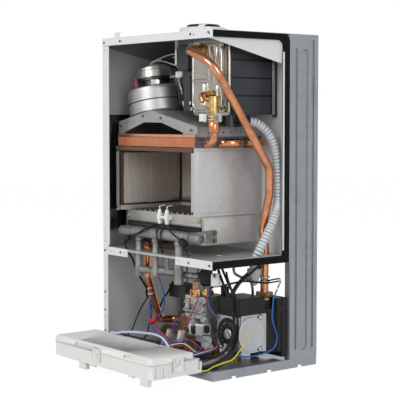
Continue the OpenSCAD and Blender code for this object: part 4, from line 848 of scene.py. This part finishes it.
cable("earth_lead_yellow", [(195.6, -215, 84), (196.4, -212, 91), (196.6, -208, 93), (196.6, -206, 88),
    (196.4, -208, 76), (196.2, -213, 66), (196, -226, 52), (195.4, -240, 40), (191, -264, 34),
    (185, -285, 28), (183, -300, 22), (180, INTO_BOX, 22)], 1.7, YELLOW_WIRE, CROSSING)

# The pale tube and the black lead that lie on the box's rear edge
pale_tube = cable("pale_tube", [(-110, -336.6, 57), (-108, -341, 66.9), (-91, -342, 67.5), (-56, -342, 75),
    (-4, -341, 81), (49, -339, 84), (77, -338, 80), (92, -337, 70), (102, -336.6, 60)], 2.6, PALE_TUBE, BOX,
    "medium")
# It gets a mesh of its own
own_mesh(pale_tube)
cable("box_edge_lead", [(-104, -336.6, 58), (-98, -337, 66.4), (-39, -337, 67.2), (21, -337, 67.6),
    (60, -337, 66.6), (70, -336.6, 59)], 2.1, BLACK_WIRE, BOX)

# Leads round the pump
cable("pump_supply_1", [(152, -236, 232), (159, -236, 222), (182, -236, 189), (193, -233, 176),
    (195.3, -230, 150), (195.3, -227, 117), (195.3, -226, 92), (195, -230, 70), (193, -243, 46),
    (189, -264, 31), (181, -292, 20), (174, INTO_BOX, 21)], 2.6, BLACK_WIRE, CROSSING)
cable("pump_supply_2", [(188, -150, 240), (196, -180, 226), (195.5, -202, 212), (192, -226, 194),
    (190.5, -234, 178), (190, -233, 150), (190, -231, 117), (190, -230, 92), (189.5, -235, 70),
    (187, -248, 50), (183, -268, 36), (177, -294, 27), (170, INTO_BOX, 27)], 2.6, BLACK_WIRE, CROSSING)
cable("pump_supply_3", [(164, -232, 222), (172, -234, 206), (186, -236, 186), (191, -238, 172),
    (193, -237, 158)], 2.0, BLACK_WIRE)
cable("return_sensor_blue", [(196.6, -120, 172), (196.8, -124, 163), (196.4, -127, 156), (196, -128, 139),
    (196, -130, 116), (196, -121, 92), (196, -116, 72), (196, -123, 52), (195, -144, 44), (193, -169, 40),
    (190, -196, 39), (186, -217, 43), (184, -232, 40)], 1.7, SENSOR_BLUE)
twisted("return_sensor_lead", [(195, -108, 201), (197, -107, 198), (197.2, -110, 188), (196.8, -115, 180),
    (196.6, -120, 172)], 1.0, (WHITE_WIRE, BLACK_WIRE), 20)
for index, (high, rear) in enumerate(((198, -108), (192.5, -106))):
    cable(f"sensor_pin_{index + 1}", [(166, -120, high - 4), (176, -119, high - 2), (184, -116, high),
        (195, rear, high + 3)], 1.7, BLACK_WIRE, CABINET, "stiff")
cable("valve_cross_lead", [(116, -238, 183), (132, -234, 187), (150, -228, 191), (168, -215, 197),
    (176, -195, 200), (178, -175, 198), (183, -150, 194), (186, -132, 192)], 2.2, BLACK_WIRE)
for index, finish in enumerate((RED_WIRE, BLUE_WIRE)):
    cable(f"terminal_lead_{index + 1}", [(126 + 3 * index, -240, 196), (118 + 2 * index, -240, 186),
        (110 + 2 * index, -239, 174), (106 + 2 * index, -238, 162), (107 + 2 * index, -234, 143),
        (115 + 2 * index, -229, 128), (124 + 2 * index, -219.4, 116)], 1.3, finish)

# A corrugated conduit behind the pump's terminal box
conduit = flowing([(184, -150, 231), (168, -162, 219), (165, -180, 208), (166, -200, 194), (170, -216, 181),
    (174, -228, 170)], 12)
swell = [1.0 if i % 3 else 0.78 for i in range(len(conduit))]
corrugated = finished(tube(conduit, 4.6, 14, swell), "corrugated_conduit", BLACK, angle=60)

# Fan and pressure switch leads
cable("fan_lead_1", [(-152, -200, 668), (-150, -200, 675), (-130, -200, 681), (-97, -200, 688),
    (-71, -200, 692), (-50, -202, 692), (-34, -208, 689)], 1.3, CREAM_WIRE)
cable("fan_lead_2", [(-148, -201, 668), (-146, -201, 674), (-125, -201, 679), (-105, -200, 682),
    (-81, -200, 684), (-61, -200, 685), (-34, -208, 682)], 1.2, CREAM_WIRE)
cable("fan_lead_3", [(-144, -199, 668), (-140, -199, 676), (-122, -199, 679), (-97, -200, 677),
    (-71, -200, 671), (-50, -202, 666), (-34, -208, 660)], 1.2, CREAM_WIRE)
sleeve_line = flowing([(-106, -200, 682), (-92, -200, 684), (-81, -200, 684.5), (-66, -200, 685)], 8)
swell = [min(1.0, 0.6 + 0.1 * min(i, 32 - i)) for i in range(33)]
finished(tube(sleeve_line, 3.4, 18, swell), "fan_lead_sleeve", RUBBER)
cable("fan_cable_white", [(-26, -214, 640), (-34, -206, 630), (-36, -200, 618), (-29, -200, 605),
    (-28, -200, 588), (-22, -200, 572)], 1.9, WHITE_WIRE)
cable("switch_lead", [(-14, -214, 640), (-12, -215, 628), (-8, -216, 612), (-4, -216, 596), (0, -214, 580)],
    2.2, BLACK_WIRE)


# Copper and gas tubes
HEADER_Z = 494.5  # height of the fin pack's pipe ends

return_line = rounded([(80, -243, 696), (80, -272, 694), (168, -273, 662), (176, -121, 439),
    (173, -119, 380), (158, -124, 312), (157, -116, 262), (155, -116, 210), (155, -115.6, 158)], 14, 45, 42,
    60)
finished(tube(return_line, 9, 36), "return_pipe", COPPER, stands_for="upper_copper_pipe")
finished(tube(rounded([(113, -237, 598), (113, -262, 597), (123, -261, 582)], 9), 6.5, 28), "return_elbow",
    COPPER_DARK, stands_for="upper_copper_pipe")
flow_line = rounded([(-182.2, -98, HEADER_Z), (-189, -98, HEADER_Z), (-189, -98, 263), (-150, -200, 262),
    (-93, -251, 262), (-93, -251, 190), (-97, -238, 150), (-97, -212, 84), (-84, -180, 84),
    (-57, -180, 84)], 6.5, 12, 30, 12, 30, 30, 16, 14)
finished(tube(flow_line, 8.6, 36), "flow_tube", COPPER, stands_for="flow_pipe")
finished(tube(rounded([(116, -248, HEADER_Z), (141, -248, HEADER_Z), (141, -248, 549)], 14), 8.5, 36),
    "link_tube", COPPER, stands_for="link_pipe")
coupler = turned([(9.6, 0), (11.6, 1.2), (12, 3), (12, 19), (11.2, 21), (12.2, 23.5), (12, 26), (9.4, 28)],
    36)
finished(placed(coupler, (141, -248, 517)), "link_coupler", COPPER, stands_for="link_pipe")
finished(tube(flowing([(118, -172, 251), (118, -172, 214), (128, -164, 203), (142, -150, 196),
    (146, -144, 184), (142, -138, 160), (142, -138, 136.2)]), 3, 20), "thin_tube", COPPER_DARK,
    stands_for="thin_copper_pipe")
rail = tube(rounded([(-40, -266, 208), (92, -266, 208), (92, -225, 208), (92, -225, 161)], 12), 7.2, 32)
branches = [tube([(x, -280, 208), (x, -267, 208)], 5.5, 24) for x in (-23, 61)]
left_neck = turned([(7, 0), (8.6, 1), (8.6, 28), (7.4, 30), (7.4, 42), (8.6, 44), (8.6, 56)], 32)
branches.append(placed(left_neck, (-82, -280, 209), RIGHT))
neck = turned([(7, 0), (9.4, 2), (9.4, 20), (8, 22), (8, 62)], 32)
branches.append(placed(neck, (-20, -272, 210), (1, 0, 0.02)))
sleeves = [ring((61, -280, 188), UP, 8.9, 10.4, 44)]
tab = softened(block((2, -276.5, 209), (18, -273.5, 249.6)), 1.0)
finished(joined(rail, *branches, *sleeves, tab), "gas_rail_tubes", CAST, stands_for="lower_gas_rail")

# Gas risers and the manifold's thicker skin with its open end
risers = []
for x, radius, foot in ((-87, 7.7, 192), (-23, 7.4, 198), (61, 8.8, 194)):
    steps = [(radius + 0.4, foot), (radius + 0.8, foot + 1), (radius + 0.8, 244), (radius, 247),
        (radius, 249.4), (radius + 0.6, 249.5), (radius + 0.6, 254), (radius - 0.2, 256),
        (radius - 0.2, 272), (radius + 1.4, 274), (radius + 1.4, 280)]
    risers.append(placed(turned(steps, 36), (x, -280, 0)))
finished(joined(*risers), "riser_pipes", PIPE_STEEL, stands_for="gas_risers")
skin = turned([(8.5, -152), (10.6, -151), (11.4, -149), (11.4, 104), (10.6, 106), (10.6, 124), (12.4, 126),
    (12.4, 140), (11.8, 141), (8.0, 141), (7.4, 133)], 40)
finished(placed(skin, (0, -281.2, 292), RIGHT), "manifold_skin", CAST)
slab("strip_skirt", (-171.8, -253.0, 313.2), (101.8, -251.4, 319.8), ZINC, 0.3)
# A dark plate under the burner strip, in front of the nozzles: painted shade in the gap above the manifold.
shade_plate = block((-166, -254.5, 302), (101, -253.2, 312.6))
sunk(shade_plate, [FRONT], 2, (0, 0.6, 0))
finished(softened(shade_plate, 0.4), "injector_shade_plate", BLACK_STEEL)
slab("ear_backing", (99, -262, 283), (100.4, -236, 301), BLACK_STEEL)

# Fin pack: upright plates on a core under a turned band
FIN_PITCH, FIN_COUNT = 3.1, 92
core = softened(block((-179.4, -269.8, 485), (106.4, -88.5, 508)), 0.4, 1)
band = softened(block((-179.4, -271.1, 506.8), (106.4, -88.2, 512.8)), 1.2, 3)
plate = softened(block((-0.7, -1.05, 485), (0.7, 1.05, 505.2)), 0.25, 1)
plates = repeated(plate, *(((-178 + FIN_PITCH * i, -270.05, 0), UP) for i in range(FIN_COUNT)))
finished(joined(core, band, plates), "fin_pack", FINS, stands_for="exchanger_fins")
finished(tube(rounded([(-182, -248, HEADER_Z), (-191, -248, HEADER_Z), (-191, -228, HEADER_Z),
    (-182, -228, HEADER_Z)], 8), 7.5, 28), "left_return_bend", COPPER)

# Unions, clips and collars on the tubes
clips = [ring((161, -120, 190), (0.05, 0, 1), 9.2, 11.4, 4),
         ring((157.5, -117, 200), (0.02, 0, 1), 9.2, 11.4, 3)]
finished(joined(*clips), "return_clips", STEEL)
clips = [ring((-95.2, -243.5, 164), (-0.09, 0.3, -0.95), 8.7, 10.4, 3),
         ring((-96.6, -238.5, 151), (-0.06, 0.35, -0.94), 8.7, 10.4, 3)]
finished(joined(*clips), "flow_clips", STEEL)
nut("return_union", (155, -115.6, 155.5), 33.5, 13.5, roll=8, collar=False)
nut("gas_union", (92, -225, 163), 24, 12)
nut("link_union", (141, -248, 549), 22, 8, roll=15)
clips = [ring((141, -248, 543.5), UP, 8.7, 13.4, 3), ring((123, -261, 580), DOWN, 6.6, 9.6, 4)]
finished(joined(*clips), "link_clips", STEEL)
plug("link_clip_white", (15, 9, 16), (122, -262, 549), WHITE_PLASTIC)
wings = [placed(softened(centred(2.2, 8, 18), 0.5), (x, -254, 549)) for x in (157, 163, 169)]
finished(joined(*wings), "spring_clip", STEEL)

# Fan: the dark seam under the cover's rim, and the bare plate on the bracket
FAN_TILT = math.radians(12)
FAN_AXIS = (-math.sin(FAN_TILT), 0, math.cos(FAN_TILT))
fan_foot = Vector((-112 - 5 * math.cos(FAN_TILT), -202, 554.67 - 5 * math.sin(FAN_TILT)))
seam = turned([(64.6, 28.6), (65.7, 28.8), (65.7, 30.6), (64.6, 30.8)], 96)
finished(placed(seam, fan_foot, FAN_AXIS), "fan_seam", RUBBER)
tag = softened(centred(18, 1, 13), 0.4)
finished(placed(tag, (-86.5, -233.5, 629), UP, 55), "bracket_plate", STAINLESS_EDGE)

# A dark sheet on the left gusset's inner face: painted shade
gusset_line = [(-298.5, 728.6), (-298.5, 711.5), (-88, 666.5), (-83.8, 668.5), (-83.8, 728.6)]
gusset_shade_sheet = sheet_of([(-197.6, y, z) for y, z in gusset_line], (-0.35, 0, 0))
finished(gusset_shade_sheet, "gusset_painted_shade", GUSSET_SHADE)

# Condenser: the pressed beads and flutes of its end plate, in a lighter stainless as a painted highlight,
# and black strips of painted shade in its housing's grooves
edge_line = rounded(upright(-230.4, (96, 569), (48, 569), (48, 703), (144, 703), (144, 569), (97, 569)), 13)
outer_line = rounded(upright(-218.8, (96, 560), (35.4, 560), (35.4, 712), (156.6, 712), (156.6, 560),
    (97, 560)), 9)
cross_line = flowing(upright(-230.2, (50, 643), (80, 640), (104, 634), (118, 627), (128, 624), (136, 628),
    (142, 634)), 8)
beads = [tube(edge_line, 2.3, 16), tube(outer_line, 1.8, 14), tube(cross_line, 2.0, 14)]
for x, low, high, width in ((86, 592, 622, 5.5), (98, 596, 624, 2.4), (131, 590, 620, 5.0),
        (101, 674, 708, 3.5), (130, 655, 704, 5.5)):
    flute = turned([(width * 0.3, 0), (width * 0.85, 1.5), (width, 5), (width, high - low - 5),
        (width * 0.85, high - low - 1.5), (width * 0.3, high - low)], 24)
    beads.append(placed(flute, (x, -229.2, low)))
# The beads take the lighter stainless: a painted highlight.
finished(joined(*beads), "condenser_beads", STAINLESS_EDGE, angle=50)
# Black strips in the housing's grooves: painted shade.
joints = [softened(block((154.8, -212, z - 3.7), (155.7, -98, z - 0.3)), 0.2, 1) for z in (598, 636, 674)]
finished(joined(*joints), "condenser_groove_shade", BLACK)
cuff_line = flowing([(142, -204, 541), (142, -186, 541), (143, -170, 541), (148, -156, 540)], 8)
finished(tube(cuff_line, 11.8, 32), "hose_cuff", RUBBER)

# Turned front edge of the floor's gland plate
slab("floor_lip", (-104.5, -299.4, 245.8), (74.5, -298.2, 250.9), ZINC)

# White turned edge of the right opening, in front of the seal
slab("opening_edge", (197.4, -102.6, 262), (199.2, -98.7, 690), ENAMEL)

# Chamber side plate: a proud sheet with rounded corners and a turned front edge
plate = block((108, -276, 337), (109.4, -99, 484))
sunk(plate, [RIGHT], 7, (1.1, 0, 0))
softened(plate, 0.9, 3, 20)
finished(plate, "chamber_side_plate", PLATE)
lower = block((104.6, -247, 276), (106.2, -110, 334))
sunk(lower, [RIGHT], 5, (0.7, 0, 0))
finished(softened(lower, 0.7, 2, 20), "casing_side_plate", PLATE)
screws("chamber_screws", 2.0, DARK_STEEL, FRONT, *upright(-277.2, (-175, 473), (-176, 343), (104, 476),
    (104, 345)))
screws("hood_screws", 2.2, DARK_STEEL, FRONT, *upright(-268.6, (-172, 530), (-86, 553), (-20, 548),
    (88, 522)))
screws("hood_side_screws", 2.2, DARK_STEEL, RIGHT, *[(108.2, y, 517) for y in (-237, -196, -173, -147)])
screws("strip_screws", 3.2, BRASS, FRONT, *upright(-252.8, (-167, 323), (97, 326)))
screws("condenser_screws", 3.0, STEEL, FRONT, *upright(-230.6, (38, 581), (144, 574), (38, 706),
    (144, 706)))
FLANGE_Y = -300.2  # the front of the cabinet's turned flanges
screws("panel_screws", 1.9, DARK_STEEL, FRONT, *upright(FLANGE_Y, (-193, 720), (-193, 243), (-130, 721),
    (127, 723), (187, 724), (-131, 243), (120, 242), (191, 242)))
screws("flange_screws", 1.6, DARK_STEEL, FRONT, *upright(FLANGE_Y, (-193, 146), (-193, 104), (-193, 56)))

# Pump front: the vent screw in its ring, and the motor's corner bolts
PUMP_X, PUMP_Z = 156, 86  # the motor's axis
vent = turned([(11.8, 0), (12, 0.6), (11.6, 1.4), (11.2, 1.6), (10.8, 2.3), (9.8, 2.7), (9.2, 2.7)], 40)
cut_out(vent, block((-1.1, -9.0, 1.6), (1.1, 9.0, 3.8)))
finished(placed(vent, (PUMP_X, -220.4, PUMP_Z), FRONT, 35), "pump_vent_screw", STEEL)
dial = turned([(35.4, 0), (35.6, 0.3), (35.2, 1.2), (33.6, 1.4), (33.2, 1.0), (30.4, 1.0), (30.0, 1.4),
    (16.4, 1.4), (15.8, 2.4), (13.4, 2.4), (13.0, 0.6)], 72)
finished(placed(dial, (PUMP_X, -219.7, PUMP_Z), FRONT), "pump_dial_face", BLACK)
slab("pump_front_plate", (118.5, -219.2, 58), (193, -216.5, 127.5), PUMP_SKIN, 2.0, 3)
marks = []
for turn in (*range(-78, 80, 12), 104, 116, 128, 150, 174, 198, 222):
    way = Vector((math.cos(math.radians(turn)), 0, math.sin(math.radians(turn))))
    marks.append((Vector((PUMP_X, -221.1, PUMP_Z)) + way * (24.5 if turn % 24 else 25.5), way))
finished(repeated(centred(0.9, 0.4, 4.8), *marks), "pump_dial_marks", IVORY)
side = block((193.4, -217, 47), (196.2, -147, 129))
sunk(side, [RIGHT], 3.5, (-1.0, 0, 0))
pressing = placed(turned([(37.5, 0), (37, 1.6), (35.4, 2.4), (33, 2.6), (32, 2.1)], 64),
    (195.1, -188, 87.5), RIGHT)
finished(joined(softened(side, 1.0, 2), pressing), "pump_side_plate", PUMP_SKIN)
washer = turned([(6.6, 0), (6.6, 0.7), (6.0, 1.0), (4.0, 1.0)], 32)
finished(repeated(washer, *(((195.8, -164, z), RIGHT) for z in (53, 122))), "pump_bolt_washers", BLACK)
screws("pump_bolts", 3.4, STEEL, RIGHT, *[(196.8, -164, z) for z in (53, 122)])
filler = block((152, -101, 28), (196, -86, 158))
sunk(filler, [RIGHT], 3, (-1.5, 0, 0))
finished(softened(filler, 2.0, 2), "hydraulic_cover", BLACK)


# Valve details
FACING = 51.4
COIL_TURN = 35
frame_plate = softened(centred(48, 4, 22), 1.5, 2)
finished(placed(frame_plate, (77.7, -235.0, 88), UP, COIL_TURN), "valve_coil_frame", WHITE_PLASTIC)
for name, at in (("valve_coil_left", (66.9, -244.0, 87.5)), ("valve_coil_right", (92.2, -226.9, 89.5))):
    plug(name, (12.5, 5, 16), at, BLACK, COIL_TURN)
plug("valve_window", (16, 8, 21), (79.4, -237.4, 85), TRAP, COIL_TURN)
base = turned([(15.5, 0), (17, 1.5), (17, 14), (16, 15), (16, 24), (17.4, 26), (17.4, 36), (15, 38)], 40)
finished(placed(base, (48, -229, 33)), "valve_base", BRASS_OLIVE)
nut("valve_outlet", (72, -226, 24), 30, 12, BRASS_OLIVE)
plug("valve_plug", (13, 12, 24), (122, -201, 172), BLACK)
plug("valve_head_plug", (20, 12, 14), (74, -246, 169), BRASS, FACING)
plug("valve_red_plug", (8, 7, 11), (73, -253, 168), RED_PLASTIC, along=(0.35, 0, -1))
tubes = [tube([(x, -241, 174), (x, -241, 186), (x + 1, -238, 193)], 1.9, 14) for x in (66.5, 75.5)]
finished(joined(*tubes), "valve_tubes", COPPER)
plug("valve_switch_block", (27, 18, 27), (106, -240, 205), BLACK, FACING)
boss = turned([(6.6, 0), (7.4, 0.6), (7.4, 5), (6.4, 6), (5.2, 6), (4.8, 4.2)], 24)
finished(repeated(boss, ((36, -234, 147), FRONT), ((34, -234, 128), FRONT), ((92, -237, 133), FRONT),
    ((92, -232, 152), (0.2, -1, 0)), ((56, -240, 112), FRONT), ((94, -236, 112), (0.3, -1, 0)),
    ((36, -234, 60), FRONT), ((96, -225, 66), (0.8, -0.6, 0)), ((98, -222, 50), (0.8, -0.6, 0))),
    "valve_bosses", CAST_BRIGHT)
flange = softened(block((26, -243, 124), (94, -232, 128)), 1.0)
rib_high = softened(block((28, -241, 141), (92, -230, 144.5)), 1.0)
finished(joined(flange, rib_high), "valve_ribs", CAST_BRIGHT)
nut("valve_top_plug", (38, -236, 150), 11, 6, collar=False)

# Control box: the cover's lower step along its rear edge, and grey strips of painted shade along its
# mouldings
source = nodes["box_cover"]
cover = in_scene(bpy.data.objects.new("cover_copy", source.data.copy()))
cover.matrix_world = source.matrix_world.copy()
settled(cover)
bpy.ops.object.mode_set(mode="EDIT")
bpy.ops.mesh.select_all(action="SELECT")
bpy.ops.mesh.remove_doubles(threshold=0.00001)
bpy.ops.object.mode_set(mode="OBJECT")
cut_out(cover, block((-186, REAR_WALL, 48.9), (187, -310, 70)))
rear_wall = softened(block((-180.8, -338.6, 48.2), (181.8, -336.6, 63.7)), 0.4)
ledge = softened(block((-180.4, -338, 47.4), (181.4, -317.4, 49.2)), 0.5)
finished(joined(cover, rear_wall, ledge), "box_cover_stepped", PLASTIC, BOX, "box_cover")
# Grey strips along the cover's seam, round its latches and beside its side ribs: painted shade.
shade_lines = [block(low, high) for low, high in (
    ((-181.3, -447.9, 48.4), (182.6, -447.0, 49.1)), ((182.0, -447, 48.4), (182.9, -338, 49.1)),
    ((4.2, -448.9, 29.5), (5.0, -446.9, 57.8)), ((-24.4, -448.9, 57.9), (4.6, -446.9, 58.5)),
    ((182.9, -390.6, 29.5), (184.4, -389.9, 57.8)), ((182.9, -361.8, 30), (184.4, -361.0, 57.8)))]
shade_lines += [block((x, -448.2, 53), (x + 2.6, -446.9, 60)) for x in (-91, 92)]
shade_lines += [block((181.9, y, low), (182.9, y + 1.3, high))
          for y, low, high in ((-434.5, 20, 48), (-414.5, 20, 40), (-398, 18, 43))]
finished(joined(*shade_lines), "box_shade_lines", PLASTIC_SHADE_LINE, BOX)
ribs = [block((181.9, y, low), (183.6, y + 3.2, high))
        for y, low, high in ((-438.0, 20, 48), (-417.9, 20, 40), (-401.4, 18, 43))]
ribs.append(block((181.0, -326, 19.5), (183.0, -315.2, 27)))
finished(softened(joined(*ribs), 0.4), "box_side_ribs", PLASTIC, BOX)

# Connectors
plug("earth_connector", (11, 10, 28), (-76, -245, 89), RED_PLASTIC, along=(27, 0, 12))
plug("valve_connector_upper", (13, 9, 20), (-17, -247, 66), IVORY, along=(8, 0, 17))
plug("valve_connector_lower", (15, 10, 20), (-40, -239.5, 47), IVORY, along=(9, 0, 17))
plug("flow_sensor_connector", (13, 9, 24), (24, -246, 67), WHITE_PLASTIC, along=(8, 0, 21))
plug("terminal_connector", (21, 14, 25), (141, -242, 204), WHITE_PLASTIC, FACING)
plug("terminal_key", (4, 4, 8), (145, -249, 214), BLACK, FACING)
plug("ignition_terminal", (11, 9, 28), (-111, -297, 275), BLACK, along=(-0.95, 0, -0.45))
plug("fan_connector", (15, 9, 13), (-22, -215, 645), WHITE_PLASTIC, FACING)
plug("fan_cable_clip", (7, 7, 13), (-29, -201, 594), BLACK, FACING)
strap = softened(centred(6, 1.6, 56), 0.5)
finished(placed(strap, (-32, -215, 695), UP, FACING), "switch_bracket", STAINLESS_EDGE)
knot = turned([(3.0, 0), (7.0, 2.5), (8.6, 6), (7.6, 9), (9.0, 13), (8.2, 18), (6.0, 21), (3.2, 23)], 18)
finished(softened(placed(knot, (84, -294, 288), (0.8, -0.02, -0.5)), 0.6, 1, 10), "lead_binding", RUBBER,
    angle=70)

# Condenser side bar
bar = block((158.6, -100, 556), (160.6, -92, 716))
sunk(bar, [RIGHT], 1.6, (0.9, 0, 0))
finished(softened(bar, 0.5, 2), "condenser_bar", STAINLESS)


# Studio

def studio_lamp(name, place, aim, size, power):
    """A soft rectangular light at a place, looking at a point."""
    lamp = in_scene(bpy.data.objects.new(name, bpy.data.lights.new(name, "AREA")))
    lamp.data.shape = "RECTANGLE"
    lamp.data.size, lamp.data.size_y = size
    lamp.data.energy = power
    lamp.location = place
    lamp.rotation_euler = (Vector(aim) - Vector(place)).to_track_quat("-Z", "Y").to_euler()


studio_lamp("key_light", (0.3, -2.6, 1.7), (0.0, -0.15, 0.35), (1.6, 1.2), 34)
studio_lamp("side_light", (2.7, -0.9, 1.3), (0.0, -0.15, 0.35), (1.0, 1.6), 26)
studio_lamp("back_light", (-1.6, 1.8, 1.8), (0.0, -0.15, 0.4), (1.4, 1.4), 16)

world = bpy.data.worlds.new("studio")
bpy.context.scene.world = world
world.use_nodes = True
sky = Graph(world.node_tree)
camera_ray, clear_ray, mirror_ray = (sky.node("LightPath", out=f"Is {kind} Ray")
                                     for kind in ("Camera", "Transmission", "Glossy"))
plain = sky.node("Math", {"operation": "MAXIMUM"}, camera_ray, clear_ray)
seen = sky.node("Math", {"operation": "MAXIMUM"}, plain, mirror_ray * 0.6)
background = sky.tree.nodes["Background"].inputs
sky.feed(background["Strength"], sky.node("MapRange", None, seen, 0.0, 1.0, 0.42, 1.0))
background["Color"].default_value = (1, 1, 1, 1)

floor = begin("plane", size=14, location=(0, 0, -0.003))
floor.name = "studio_floor"
pale = Look("pale_floor", (0.93, 0.93, 0.93), 0.9)
lit = pale.node("LightPath", out="Is Camera Ray") * 0.93 + pale.node("LightPath", out="Is Glossy Ray") * 0.5
glow = pale.node("Emission", Strength=1.04)
pale.feed(pale.output.inputs[0], pale.node("MixShader", None, lit, pale.shader, glow))
floor.data.materials.append(pale.material)
